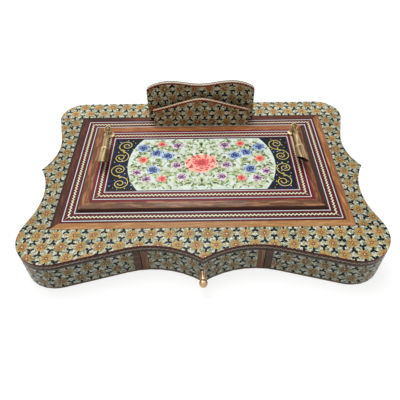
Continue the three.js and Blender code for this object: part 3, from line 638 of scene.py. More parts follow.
def wood_material(name, light, dark, pores=DARK_PORES, axis=None, outer=None, outer_width=0.0, dusky=None,
                  coat=0.03):
    """Wood with streaked figure, fine fibres and short pores along its length, which is the pattern map's
    or an axis. Its outer side may have another colour, and it may darken between two places along it."""
    g = Graph(name, coat=coat, specular=0.1)
    if axis is None:
        place = [*g.pattern(), 0.0]
    else:
        place = g.place_mm()
        place = place[axis:] + place[:axis]
    u, v, _ = place
    figure = g.noise(place, (0.035, 0.32, 0.32), 4.0, 1.2)
    fibres = g.noise(place, (0.16, 4.2, 4.2), 3.0)
    holes = g.below(g.noise(place, (0.5, 2.6, 2.6)), 0.38)
    grain = g.flecks(place, (0.55, 1.1, 1.1))
    colour = g.mix(g.between(figure, 0.42, 2.0, 0.14), light, dark)
    colour = g.mix(fibres * 0.4, colour, dark)
    if outer:
        colour = g.mix(g.below(v, outer_width, 0.5), colour, outer)
    colour = g.mix(holes * 0.55, colour, pores)
    if dusky:
        start, end, depth = dusky
        colour = g.shade(colour, g.below(u, (start + end) / 2, (end - start) / 2) * depth + (1 - depth))
    colour = g.shade(colour, 0.76 + fibres * 0.3 + grain * 0.16)
    return g.finish(colour, 0.3 + fibres * 0.22, fibres - holes * 0.5)


def paint_material(name, dark, light, scale, cover, third=None):
    """A brushed painted ground, with patches of a second and a third colour."""
    g = Graph(name, specular=0.1)
    u, v = g.pattern()
    colour = g.mix(g.between(g.noise(g.xyz(u, v), scale, 4.0, 0.6), cover, 2.0, 0.08), dark, light)
    if third:
        clouds = g.noise(g.xyz(u, v, 40.0), scale, 4.0, 0.6)
        colour = g.mix(g.between(clouds, 0.6, 2.0, 0.05), colour, third)
    brush = g.noise((u, v), (0.5, 2.4), 3.0)
    return g.finish(g.shade(colour, 0.92 + brush * 0.12), 0.26 + brush * 0.12, brush, 0.012)


def stroke_material():
    """Opaque paint laid on in dabs, whose colour comes with the mesh."""
    g = Graph("painted_strokes")
    brush = g.noise(g.xyz(*g.pattern()), 1.5, 3.0)
    paint = g.make("Attribute", out="Color", attribute_name="paint")
    return g.finish(g.shade(paint, 0.86 + brush * 0.28), 0.3 + brush * 0.14, brush)


def gold_material():
    g = Graph("gold_paint", metallic=0.1)
    grains = g.noise(g.xyz(*g.place_mm()), 1.2, 3.0)
    colour = g.mix(grains, rgb(190, 162, 66), rgb(232, 212, 116))
    return g.finish(colour, 0.3 + grains * 0.2, grains)


def brass_material(name, light, dark, roughness):
    """Satin brass with streaks along the piece, which are painted light and dark reflections, fine turning
    marks and a few darker spots.
    """
    g = Graph(name, metallic=0.85)
    around, along = g.pattern()
    turn = around * math.tau
    place = (g.math("COSINE", turn), g.math("SINE", turn), along)
    # Lengthwise streaks of painted reflection
    streaks = g.noise(place, (2.4, 2.4, 0.03), 3.0)
    marks = g.noise(place, (0.4, 0.4, 5.0))
    spots = g.noise(place, (3.0, 3.0, 0.7))
    colour = g.mix(g.between(streaks, 0.48, 2.0, 0.1), dark, light)
    colour = g.mix(g.between(spots, 0.66, 2.0, 0.05) * 0.5, colour, dark)
    colour = g.shade(colour, 0.92 + marks * 0.14)
    return g.finish(colour, (roughness - 0.1) + streaks * 0.16 + marks * 0.06, marks, 0.008)


def felt_material():
    g = Graph("felt", specular=0.1)
    spot = g.xyz(*g.place_mm())
    hairs = g.noise(spot, 3.2, 5.0, 1.5)
    clumps = g.noise(spot, 0.35, 3.0)
    colour = g.mix(hairs, rgb(28, 52, 38), rgb(58, 92, 66))
    return g.finish(g.shade(colour, 0.8 + clumps * 0.4), 0.95, hairs, 0.25)


TOP_STARS = (rgb(212, 164, 98), rgb(178, 122, 66))
KHATAM = khatam_material("khatam_top", (0.9, 0.9, 0.92), *TOP_STARS)
# The flank copy is the top's khatam darker in painted shade, and the rear copy is it lighter in painted light
KHATAM_FLANK_SHADED = khatam_material("khatam_flank_shaded", (0.74, 0.75, 0.78), *TOP_STARS)
KHATAM_REAR_LIT = khatam_material("khatam_rear_lit", (0.97, 0.98, 1.02), *TOP_STARS)
# The upright faces' khatam is made lighter and bluer by its tone: painted sky light
KHATAM_SIDE_SKYLIT = khatam_material(
    "khatam_side_skylit", (1.08, 1.13, 1.32), rgb(168, 132, 92), rgb(128, 88, 60), 0.75)
KHATAM_UPRIGHT = khatam_material(
    "khatam_upright", (1.0, 0.95, 0.94), rgb(178, 112, 70), rgb(112, 66, 42), 0.65)
EDGE_BAND = edge_band_material()
EDGINGS = {
    "holder_back": edging_material("back_edging", rgb(206, 204, 178), rgb(84, 82, 64)),
    "pocket": edging_material("pocket_edging", rgb(226, 200, 160), rgb(104, 72, 50)),
}
LINES = {
    name: dyed_material(f"{name}_line", rgb(*colour), *spread_and_roughness)
    for name, colour, *spread_and_roughness in (
        ("red", (84, 14, 22), 0.5), ("bright_red", (128, 20, 32), 0.35), ("wine", (104, 18, 28), 0.4),
        ("crimson", (128, 44, 38), 0.3), ("plum", (72, 26, 38), 0.35), ("white", (206, 218, 216), 0.1, 0.3),
        ("dark", (44, 36, 26), 0.4), ("cream", (232, 222, 190), 0.18), ("taupe", (136, 118, 104), 0.3),
    )
}
BORDER_WOODS = {
    "front": wood_material("wood_front", rgb(206, 162, 108), rgb(166, 116, 68), rgb(104, 64, 36)),
    "right": wood_material("wood_right", rgb(214, 154, 98), rgb(142, 90, 52), rgb(84, 48, 28)),
    "left": wood_material("wood_left", rgb(122, 66, 42), rgb(66, 34, 22), outer=rgb(50, 28, 20),
                          outer_width=2.2),
    "back": wood_material("wood_back", rgb(146, 78, 46), rgb(84, 40, 26), outer=rgb(56, 32, 22),
                          outer_width=1.6, dusky=(420.0, 500.0, 0.72)),
}
# One wood in copies lit and shaded by side: the right length is darkest in painted shade, and the darker
# outer colours paint the shade on the slope along the outer side
MOULDING_WOODS_LIT_AND_SHADED = {
    "front": wood_material("moulding_wood_front", rgb(186, 134, 94), rgb(100, 64, 42),
                           outer=rgb(54, 28, 20), outer_width=23.0, coat=0.1),
    "back": wood_material("moulding_wood_back", rgb(204, 142, 92), rgb(150, 92, 54)),
    "left": wood_material("moulding_wood_left", rgb(190, 134, 92), rgb(112, 70, 46),
                          outer=rgb(96, 54, 34), outer_width=22.6),
    "right": wood_material("moulding_wood_right_shaded", rgb(180, 116, 74), rgb(98, 56, 38),
                           outer=rgb(62, 34, 26), outer_width=26.0),
}
CASE_WOOD = wood_material("case_wood", rgb(134, 110, 92), rgb(92, 72, 58), axis=X)
BASE_WOOD = wood_material("base_wood", rgb(158, 124, 94), rgb(112, 84, 62), axis=X)
UPRIGHT_WOOD = wood_material("upright_wood", rgb(142, 96, 66), rgb(100, 62, 42), axis=Z)
FRONT_WOOD = wood_material("drawer_front_wood", rgb(176, 138, 112), rgb(128, 94, 72), axis=Z)
DRAWER_WOOD = wood_material("drawer_wood", rgb(214, 176, 124), rgb(180, 138, 90), rgb(120, 84, 52),
                            axis=Y, coat=0.0)
IVORY_PAINT = paint_material("ivory_paint", rgb(204, 217, 208), rgb(220, 229, 218), 0.14, 0.47)
NAVY_PAINT = paint_material("navy_paint", rgb(8, 11, 18), rgb(22, 34, 100), 0.22, 0.58, rgb(22, 38, 26))
STROKES = stroke_material()
GOLD = gold_material()
BRASS = brass_material("satin_brass", rgb(192, 166, 122), rgb(98, 76, 50), 0.36)
BRIGHT_BRASS = brass_material("bright_brass", rgb(210, 188, 146), rgb(158, 132, 94), 0.32)
# The ball's brass is darker: painted shade of the ball down in its cup
SHADED_BALL_BRASS = brass_material("shaded_ball_brass", rgb(150, 126, 84), rgb(88, 70, 44), 0.38)
ROSE_BRASS = brass_material("rose_brass", rgb(222, 190, 152), rgb(176, 138, 104), 0.36)
FELT = felt_material()


# ---------------------------------------------------------------- case

def make_top_veneer():
    """The khatam on the top: strips across the front and back, and one down each side, whose stars run
    along Y."""

    def across(first, row, shift, skew, pitch=17.1):
        """A strip's map. Its rows may be sewn a little further left towards the front."""
        return lambda s: (
            (s.x - shift - skew * (s.y - first) / row) / pitch, (s.y - first) / (2 * row))

    def down(sign, first=147.2, row=11.6, shift=9.9, pitch=17.8):
        return lambda s: ((s.y - shift) / pitch, (s.x * sign - first) / (2 * row))

    middle = side_of(side_of(OUTLINE, Y, FRAME_LOW_Y, 1), Y, FRAME_HIGH_Y, -1)
    materials = [KHATAM, LINES["red"], KHATAM_FLANK_SHADED, KHATAM_REAR_LIT]
    shape = Shape()
    # The strips down each side take the khatam in painted shade, and the back strip the one in painted light
    for outline, place, khatam in (
        (side_of(OUTLINE, Y, FRAME_LOW_Y, -1), across(-88.1, 12.5, shift=4.5, skew=1.3), KHATAM),
        (side_of(OUTLINE, Y, FRAME_HIGH_Y, 1), across(99.7, 13.2, shift=-14.0, skew=0.0), KHATAM_REAR_LIT),
        (side_of(middle, X, FRAME_X, 1), down(1), KHATAM_FLANK_SHADED),
        (side_of(middle, X, -FRAME_X, -1), down(-1), KHATAM_FLANK_SHADED),
    ):
        slot = materials.index(khatam)
        plate(shape, outline, TOP_BOARD_HIGH, TOP_SKIN_HIGH, flat_lift, place, SKIN_BEVEL, 1, slot)
    shape.piece("top_veneer", materials, replaces=["top_khatam"], slot="khatam")


def make_edge_band():
    """The zigzag band round the top board, with eased edges."""
    ease = 0.18
    low, high = TOP_BOARD_LOW, TOP_BOARD_HIGH
    section = [
        (ease, low, 0.0, 0), (0, low + ease, ease, 0), (0, high - ease, high - low - ease, 0),
        (ease * 0.4, high, high - low, 0), (BAND_THICKNESS, high, high - low, 0),
        (BAND_THICKNESS, low, 0.0, 0),
    ]
    shape = Shape()
    scale = fitted(OUTLINE, EDGE_PERIOD, True)
    sweep(shape, OUTLINE, section, flat_lift, closed=True, length_scale=scale)
    shape.piece("edge_band_ring", [EDGE_BAND], replaces=["edge_band_left", "edge_band_right"], slot="zigzag")


def outline_run(start, end):
    """The outline from one cut to the next, each given as (axis, level, sign of the other coordinate)."""
    line = OUTLINE
    for axis, level, _ in (start, end):
        line = cut_at(line, axis, level)

    def index(axis, level, sign):
        fits = (i for i, s in enumerate(line) if abs(s[axis] - level) < 2e-3 and s[1 - axis] * sign > 0)
        return next(fits)

    a, b = index(*start), index(*end)
    if b < a:
        b += len(line)
    sides = mitres(line, True)
    picked = [i % len(line) for i in range(a, b + 1)]
    return [line[i] for i in picked], [sides[i] for i in picked]


def make_side_veneer(name, start, end, node, low, high, body="case"):
    """A khatam skin on an upright face. An end at a level of x is sawn square to X, but not the back's."""
    line, sides = outline_run(start, end)
    for n, cut in ((0, start), (-1, end)):
        if cut[0] == X and node != "khatam_back":
            sides[n] = Vector((0, sides[n].length_squared / sides[n].y))
    ease = 0.15
    line_low = TOP_BOARD_LOW - TAUPE_WIDTH
    rise = (low - SIDE_ROW_Z) / (2 * STAR_ROW)
    top = rise + (line_low - low) / (2 * STAR_ROW)
    section = [
        (ease, low, rise, 0), (0, low + ease, rise, 0), (0, line_low, top, 1), (0, high - ease, top, 1),
        (ease, high, top, 1), (SKIN, high, top, 0), (SKIN, low, rise, 0),
    ]
    shape = Shape()
    at_drawer = abs(line[0].x) < 100
    sweep(shape, line, section, flat_lift, mitre=sides, length_scale=1 / STAR_PITCH,
          start=line[0].x if at_drawer else 0.0)
    shape.piece(name, [KHATAM_SIDE_SKYLIT, LINES["taupe"]], body, [node], "khatam")


def make_side_veneers():
    """The skins round the case, between cuts at the drawer, the side cusps and the back's corners."""
    front_left, front_right, back_left, back_right = (
        (X, x, y) for y, reach in ((-1, WALL_SKIN_X), (1, BACK_STRAIGHT_X)) for x in (-reach, reach))
    cusp_left, cusp_right = (Y, SIDE_CUSP_Y, -1), (Y, SIDE_CUSP_Y, 1)
    for place, start, end in (
        ("front_left", cusp_left, front_left), ("front_right", front_right, cusp_right),
        ("side_right", cusp_right, back_right), ("back", back_right, back_left),
        ("side_left", back_left, cusp_left),
    ):
        make_side_veneer(f"veneer_{place}", start, end, f"khatam_{place}", WALL_LOW, TOP_BOARD_LOW)
    low, high = (corner.z for corner in box_mm("drawer_khatam"))
    start, end = (X, -DRAWER_SKIN_X, -1), (X, DRAWER_SKIN_X, -1)
    make_side_veneer("veneer_drawer", start, end, "drawer_khatam", low, high, "drawer")


# ---------------------------------------------------------------- frame on the top

FRAME_CENTRE = Vector((0, (FRAME_LOW_Y + FRAME_HIGH_Y) / 2))
FRAME_HALF = Vector((FRAME_X, (FRAME_HIGH_Y - FRAME_LOW_Y) / 2))
CORNERS = ((-1, -1), (1, -1), (1, 1), (-1, 1))
SIDE_CORNERS = dict(zip(("front", "right", "back", "left"), zip(CORNERS, CORNERS[1:] + CORNERS[:1])))
INLAY_DEPTH = 0.3
WHITE_WIDTH = 0.92
SHADE_WIDTH = 0.8
DARK_WIDTH = 3.1
ZIGZAG_WIDTH = 1.1
ZIGZAG_SWING = 0.82
ZIGZAG_PERIOD = 3.6


def frame_corner(signs, inset=0.0):
    half = FRAME_HALF - Vector((inset, inset))
    return FRAME_CENTRE + Vector((signs[0] * half.x, signs[1] * half.y))


def mitred_length(name, side, section, material, node):
    """One side of the frame, cut at 45 degrees at both ends. The section gives inset and height."""
    ends = [Vector(s) for s in SIDE_CORNERS[side]]
    line = [frame_corner(s) for s in ends]
    rows = [(inset, level, inset, 0) for inset, level in section]
    shape = Shape()
    sweep(shape, line, rows, flat_lift, mitre=[-s for s in ends], start=line[0].x + line[0].y)
    shape.piece(name, [material], replaces=[node], slot="border_wood")


def border_section():
    low, high, width, ease, gap = TOP_BOARD_HIGH, STRIP_HIGH, BORDER_WIDTH, 0.25, 0.08
    return [(0, low), (0, high - ease), (ease, high), (width - gap, high), (width, high - gap), (width, low)]


def moulding_section():
    """A hollowed slope that rises to a rounded lip against the raised inlay."""
    a, b = MOULDING_INSET, INNER_INLAY_INSET
    low, foot = TOP_BOARD_HIGH, TOP_BOARD_HIGH + 1.5
    rise = (RAISED_HIGH - foot) / 2.5
    slope = [(a + x, foot + z * rise) for x, z in (
        (0.0, 0.0), (0.15, 0.5), (0.5, 1.0), (1.0, 1.45), (1.6, 1.8), (2.3, 2.12), (3.1, 2.33), (4.0, 2.42),
        (5.4, 2.45), (7.6, 2.45), (8.6, 2.47), (9.3, 2.5), (9.9, 2.5), (10.25, 2.44))]
    inside = [(b, RAISED_HIGH - 0.2), (b, CORE_HIGH), (a + MOULDING_FOOT, CORE_HIGH)]
    return [(a + MOULDING_FOOT, low), (a, low)] + slope + inside


def ring(name, inset, width, low, high, line, replaces=()):
    """A flat strip that runs round the frame, mitred at its corners."""
    ease, far = min(0.05, (high - low) / 2), inset + width
    section = [
        (0, low, inset, 0), (0, high - ease, inset, 0), (ease, high, inset, 0),
        (width - ease, high, far, 0), (width, high - ease, far, 0), (width, low, inset, 0),
    ]
    shape = Shape()
    sweep(shape, [frame_corner(signs, inset) for signs in CORNERS], section, flat_lift, closed=True)
    shape.piece(name, [LINES[line]], replaces=replaces)


def zigzag_line(middle):
    """A zigzag round the frame with a whole number of teeth on each side and a peak on each mitre."""
    line = []
    for corners in SIDE_CORNERS.values():
        a, b = (frame_corner(s, middle - ZIGZAG_SWING) for s in corners)
        out = -(b - a).normalized().orthogonal()
        teeth = round((b - a).length / ZIGZAG_PERIOD)
        for n in range(2 * teeth):
            line.append(a.lerp(b, n / (2 * teeth)) - out * (2 * ZIGZAG_SWING * (n % 2)))
    return line


def make_inlay(name, node, ground, inset, width, low, high, white, middle):
    """A band of inlay: red ground, two white lines with a darker one on their far side, and a cream
    zigzag on a dark line between them."""
    bed = high - INLAY_DEPTH
    strips = [f"{node}_{side}" for side in SIDE_CORNERS]
    ring(f"{name}_ground", inset, width, low, high - 0.08, ground, strips)
    for n, centre in enumerate(white):
        shade = centre + (0.9 if n else -0.9 - SHADE_WIDTH)
        ring(f"{name}_white_{n + 1}", centre - WHITE_WIDTH / 2, WHITE_WIDTH, bed, high, "white")
        ring(f"{name}_shade_{n + 1}", shade, SHADE_WIDTH, bed, high - 0.04, "plum")
    ring(f"{name}_dark", middle - DARK_WIDTH / 2, DARK_WIDTH, bed, high - 0.05, "dark")
    half = ZIGZAG_WIDTH / 2
    section = [(-half, bed, 0, 0), (-half, high, 0, 0), (half, high, 1, 0), (half, bed, 1, 0)]
    shape = Shape()
    sweep(shape, zigzag_line(middle), section, flat_lift, closed=True)
    shape.piece(f"{name}_zigzag", [LINES["cream"]], slot="zigzag")


def make_frame():
    for side in SIDE_CORNERS:
        mitred_length(f"border_strip_{side}", side, border_section(), BORDER_WOODS[side], f"border_{side}")
        mitred_length(f"moulding_strip_{side}", side, moulding_section(), MOULDING_WOODS_LIT_AND_SHADED[side],
                      f"moulding_{side}")
    make_inlay("outer_band", "outer_inlay", "red", BORDER_WIDTH, 14.0, TOP_BOARD_HIGH, STRIP_HIGH,
               white=(9.7, 19.2), middle=14.45)
    # A dark line of painted shadow at the foot of the moulding
    ring("outer_band_foot_shadow", 20.1, 0.9, STRIP_HIGH - INLAY_DEPTH, STRIP_HIGH - 0.03, "plum")
    make_inlay("inner_band", "inner_inlay", "wine", INNER_INLAY_INSET, 14.6, CORE_HIGH, RAISED_HIGH,
               white=(34.6, 44.06), middle=39.3)
    ring("inner_band_lip", 31.55, 1.4, RAISED_HIGH - INLAY_DEPTH, RAISED_HIGH - 0.05, "bright_red")
    ring("inner_band_plum", 45.1, 0.9, RAISED_HIGH - INLAY_DEPTH, RAISED_HIGH - 0.05, "plum")


# ---------------------------------------------------------------- card holder

HOLDER_ROW_Z = STRIP_HIGH + 5.7
HOLDER_SHARP = 22
EDGING_THICKNESS = 1.4


def make_holder_face(board, shift):
    """The khatam skin on an upright board. It faces the front."""
    node = f"{board}_khatam"
    front, back = (corner.y for corner in box_mm(node))
    outline = in_order(node_points(node, Y, front), Vector((0, STRIP_HIGH + 15)))

    def place(s):
        return (s.x - shift) / STAR_PITCH, (s.y - HOLDER_ROW_Z) / (2 * STAR_ROW)

    shape = Shape()
    plate(shape, refined(outline, True, HOLDER_SHARP), back, front, upright_lift, place, SKIN_BEVEL)
    shape.piece(f"{board}_face", [KHATAM_UPRIGHT], replaces=[node], slot="khatam")


def make_edging(board):
    """The strip on a board's top edge: a zigzag on top and a red line in front."""
    node = f"{board}_edging"
    front, back = (corner.y for corner in box_mm(node))
    highest = {}
    for s in node_points(node, Y, front):
        key = round(s.x, 2)
        highest[key] = max(highest.get(key, s.y), s.y)
    line = refined([Vector(s) for s in sorted(highest.items(), reverse=True)], False, HOLDER_SHARP)
    ease, low, wide = 0.25, EDGING_THICKNESS, abs(back - front)
    section = [
        (low, front, 0.0, 1), (ease, front, 0.0, 1), (0.0, front + ease, 0.0, 0),
        (0.0, back - ease, wide, 2), (ease, back, wide, 2), (low, back, wide, 2),
    ]
    shape = Shape()
    sweep(shape, line, section, upright_lift, length_scale=fitted(line, EDGING_PERIOD))
    shape.piece(f"{board}_top", [EDGINGS[board], LINES["crimson"], UPRIGHT_WOOD], replaces=[node],
                slot="zigzag")


def make_holder():
    for board, shift in (("holder_back", 2.0), ("pocket", -4.0)):
        make_holder_face(board, shift)
        make_edging(board)


# ---------------------------------------------------------------- painted panel

PANEL_LOW, PANEL_HIGH = box_mm("painted_panel")
PANEL_CENTRE = ((PANEL_LOW + PANEL_HIGH) / 2).to_2d()
PANEL_HALF = ((PANEL_HIGH - PANEL_LOW) / 2).to_2d()
FIELD_TOP = RAISED_HIGH - 0.55
MEDALLION_TOP = RAISED_HIGH - 0.5
PAINT_FOOT = RAISED_HIGH - 0.58
WASH_LEVEL = MEDALLION_TOP + 0.01
STEM_LEVEL = MEDALLION_TOP + 0.034
VINE_LEVEL = MEDALLION_TOP + 0.036
LEAF_LEVEL = MEDALLION_TOP + 0.04
FLOWER_LEVEL = MEDALLION_TOP + 0.17
DOT_LEVEL = FIELD_TOP + 0.06
SCROLL_LEAF_LEVEL = FIELD_TOP + 0.08
SCROLL_LEVEL = FIELD_TOP + 0.09
SCROLL_EYE_LEVEL = FIELD_TOP + 0.1
SCROLL_WIDTH = 0.75
SCROLL_EYE_RADIUS = 0.75
VINE_WIDTH = 0.5
STEM_WIDTH = 0.45
DOT_COUNT = 52
DOT_GAP = 4.2
FLOWERS_SEED, MIDDLE_FLOWER_SEED, DOTS_SEED = 29, 5, 11
MIDDLE_FLOWER_SIZE = 18.5
FLOWER_KINDS = ["blue", "plum", "coral", "plum", "blue", "peach", "plum", "coral", "plum", "blue"]
FLOWER_SIZES = {"blue": 7.6, "plum": 6.3, "coral": 5.4, "peach": 6.0}
MEDALLION_REACH = 77.3
MEDALLION_ARC = 66.8
MEDALLION_ARC_X = MEDALLION_REACH - MEDALLION_ARC
PAINTS = {
    name: (rgb(*root), rgb(*tip)) for name, root, tip in (
        ("wash", (178, 188, 142), (208, 214, 178)), ("leaf", (100, 124, 62), (182, 198, 128)),
        ("moss", (52, 70, 38), (124, 142, 80)), ("stem", (104, 96, 52), (120, 116, 64)),
        ("coral", (222, 58, 62), (255, 190, 168)), ("deep_coral", (176, 26, 38), (222, 66, 66)),
        ("peach", (226, 86, 62), (250, 176, 140)), ("white", (206, 220, 226), (226, 236, 238)),
        ("blue", (78, 108, 178), (184, 208, 228)), ("navy", (8, 14, 62), (34, 56, 132)),
        ("plum", (190, 130, 182), (242, 220, 230)), ("deep_plum", (54, 14, 54), (104, 40, 98)),
        ("gold", (222, 198, 96), (236, 222, 150)),
    )
}
DEEP_PAINTS = {"coral": "deep_coral", "peach": "deep_coral", "blue": "navy", "plum": "deep_plum"}
STEM_TINT = PAINTS["stem"][0]


def flat_place(spot):
    return spot.x, spot.y


def towards(angle):
    return Vector((math.cos(angle), math.sin(angle)))


def medallion_outline():
    """Straight along the top and the bottom, with a round end on each side."""
    half = math.degrees(math.asin(PANEL_HALF.y / MEDALLION_ARC))
    ends = [
        arc((side * MEDALLION_ARC_X, 0), MEDALLION_ARC, middle - half, middle + half, 32)
        for side, middle in ((1, 0), (-1, 180))
    ]
    return [PANEL_CENTRE + Vector(s) for s in ends[0] + ends[1]]


def beyond_medallion(spot):
    """How far a point lies outside the medallion's round end, or inside it if negative."""
    return Vector((abs(spot.x) - MEDALLION_ARC_X, spot.y - PANEL_CENTRE.y)).length - MEDALLION_ARC


def dab(shape, start, end, width, level, paint, lift=flat_lift, bend=0.0, swell=1.0, bright=1.0, points=7):
    """One stroke of the brush, pointed where it starts, whose colour runs from root to tip. A higher
    swell puts its widest part nearer the tip and makes it rounder."""
    way = end - start
    side = way.orthogonal().normalized()
    right, left = [], []
    for i in range(1, points):
        t = i / points
        spine = start + way * t + side * (bend * 4 * t * (1 - t))
        half = width / 2 * math.sin(math.pi * t ** swell) ** (1 / swell)
        right.append(spine - side * half)
        left.append(spine + side * half)
    root, tip = PAINTS[paint]

    def tint(spot):
        share = min(1.0, max(0.0, (spot - start).dot(way) / way.length_squared))
        return tuple((a + (b - a) * share) * bright for a, b in zip(root, tip))

    outline = [start, *right, end, *reversed(left)]
    plate(shape, outline, PAINT_FOOT, level, lift, flat_place, 0.04, tint=tint)


def dot(shape, centre, radius, level, paint):
    outline = [centre + Vector(s) for s in arc((0, 0), radius, 0, 330, 11)]
    plate(shape, outline, PAINT_FOOT, level, flat_lift, flat_place, 0.05, tint=lambda spot: PAINTS[paint][0])


def ribbon(shape, line, width, level, tint=NO_TINT, lift=flat_lift):
    half, foot = width / 2, PAINT_FOOT
    section = [(-half, foot, 0, 0), (-half, level, 0, 0), (half, level, width, 0), (half, foot, 0, 0)]
    sweep(shape, line, section, lift, tint=tint)


def around(centre, angle, reach):
    """A point at an angle round a centre. Flowers are drawn a little flattened."""
    return centre + Vector((math.cos(angle), 0.85 * math.sin(angle))) * reach


def flower(shape, centre, size, paint, level, petals, rings, rng, lift):
    """Rings of uneven round petals, each smaller and higher than the one under it. The inner ring is the
    darkest. Strokes of the other tone curl round the middle."""
    for layer in range(rings):
        reach = size * (1 - 0.85 * layer / rings)
        height = level + 0.05 * layer
        count = petals - 2 * layer
        turn = rng.uniform(0, math.tau)
        petal, stroke = paint, DEEP_PAINTS[paint]
        if layer == rings - 1:
            petal, stroke = stroke, petal
        for k in range(count):
            angle = turn + math.tau * (k + rng.uniform(-0.15, 0.15)) / count
            tip = around(centre, angle, reach * rng.uniform(0.86, 1.06))
            dab(shape, around(centre, angle, reach * 0.05), tip, 4.6 * reach / count + reach * 0.1,
                height + 0.004 * (k % 3), petal, lift, swell=1.8, bright=rng.uniform(0.85, 1.1), points=8)
        for k in range(count):
            angle = turn + math.tau * (k + rng.uniform(0.1, 0.5)) / count
            width = rng.uniform(0.6, 1.1) * (0.4 + 0.13 * reach)
            start = around(centre, angle, reach * rng.uniform(0.45, 0.75))
            end = around(centre, angle + 5.6 / count, reach * rng.uniform(0.5, 0.85))
            dab(shape, start, end, width, height + 0.03, stroke, lift, bend=-reach * 0.16, points=6)


# The wavy stem that leaves the middle flower to the right
VINE = [
    PANEL_CENTRE + Vector((12 + 54 * t, 15 * math.sin(math.tau * 1.05 * t) * (1 - 0.2 * t)))
    for t in (n / 40 for n in range(41))
]


def scattered(rng, count, gap, inside, low_x=0.0):
    """Random points on the right half of the medallion, some way inside its edge and apart from each
    other."""
    found = []
    for _ in range(count * 90):
        spot = PANEL_CENTRE + Vector((rng.uniform(low_x, 75), rng.uniform(-1, 1) * (PANEL_HALF.y - inside)))
        if beyond_medallion(spot) < -inside and all((spot - other).length > gap for other in found):
            found.append(spot)
        if len(found) == count:
            break
    return found


def leaves(shape, rng, spot, count, lengths, widths, levels, paints, lift):
    """A tuft of leaves that spread from one point."""
    turn = rng.uniform(0, math.tau)
    for _ in range(count):
        out = towards(turn + rng.uniform(-1.6, 1.6))
        dab(shape, spot + out * 0.3, spot + out * rng.uniform(*lengths), rng.uniform(*widths),
            rng.choice(levels), rng.choice(paints), lift, bend=rng.uniform(-0.6, 0.6),
            bright=rng.uniform(0.82, 1.12), points=6)


def stem(shape, head, lift):
    """A bowed stem from the nearest point of the vine to a flower."""
    foot = min(VINE, key=lambda s: (s - head).length)
    middle = (foot + head) / 2 + Vector((2.2, 0))
    shares = [n / 8 for n in range(9)]
    line = [foot * (1 - u) ** 2 + middle * (2 * u * (1 - u)) + head * u ** 2 for u in shares]
    ribbon(shape, line, STEM_WIDTH, STEM_LEVEL, STEM_TINT, lift)


def make_flowers():
    """A generic mirrored design of flowers and leaves."""
    shape = Shape()
    wash_levels = [WASH_LEVEL + 0.004 * n for n in range(5)]
    leaf_levels = [LEAF_LEVEL + 0.012 * n for n in range(8)]
    for sign in (1, -1):
        rng = random.Random(FLOWERS_SEED)

        def lift(spot, level):
            return Vector((spot.x * sign, spot.y, level))

        heads = scattered(rng, 12, gap=13.4, inside=7.5, low_x=20)
        ribbon(shape, VINE, VINE_WIDTH, VINE_LEVEL, STEM_TINT, lift)
        for head in heads:
            stem(shape, head, lift)
        for spot in scattered(rng, 110, gap=4.4, inside=4.0):
            leaves(shape, rng, spot, rng.randint(3, 4), (4.5, 8.0), (2.2, 3.8), wash_levels, ["wash"], lift)
        for spot in scattered(rng, 150, gap=3.7, inside=3.5):
            leaves(shape, rng, spot, rng.randint(3, 5), (3.0, 6.6), (0.9, 2.2), leaf_levels,
                   ["leaf", "moss", "leaf", "moss", "wash"], lift)
        for n, head in enumerate(heads):
            leaves(shape, rng, head, 6, (7.0, 9.5), (1.4, 2.4), leaf_levels, ["leaf", "moss"], lift)
            kind = FLOWER_KINDS[n % len(FLOWER_KINDS)]
            size = FLOWER_SIZES[kind] * rng.uniform(0.9, 1.05)
            flower(shape, head, size, kind, FLOWER_LEVEL + 0.012 * (n % 3), 6, 2, rng, lift)
    rng = random.Random(MIDDLE_FLOWER_SEED)
    flower(shape, PANEL_CENTRE, MIDDLE_FLOWER_SIZE, "coral", FLOWER_LEVEL - 0.02, 13, 3, rng, flat_lift)
    shape.piece("panel_flowers", [STROKES], slot="painting")


def scroll_line(top, bottom):
    """An S whose ends wind up into spirals round the two given centres."""
    step, entry, first_radius, last_radius, whole_turn = 0.35, 3.6, 6.6, 1.5, 10.4
    spot, heading, run = ORIGIN, 0.0, 0.0
    half = [spot]
    while heading > -whole_turn:
        wound = max(0.0, -heading - entry / (2 * first_radius)) / whole_turn
        radius = first_radius * (last_radius / first_radius) ** wound
        heading -= min(1.0, run / entry) / radius * step
        spot = spot + towards(heading) * step
        run += step
        half.append(spot)
    middle = (top + bottom) / 2
    eye = sum(half[-16:], ORIGIN) / 16
    goal = top - middle
    turn = Matrix.Rotation(math.atan2(goal.y, goal.x) - math.atan2(eye.y, eye.x), 2)
    upper = [turn @ s * (goal.length / eye.length) for s in half]
    return [middle + s for s in reversed(upper)] + [middle - s for s in upper[1:]]


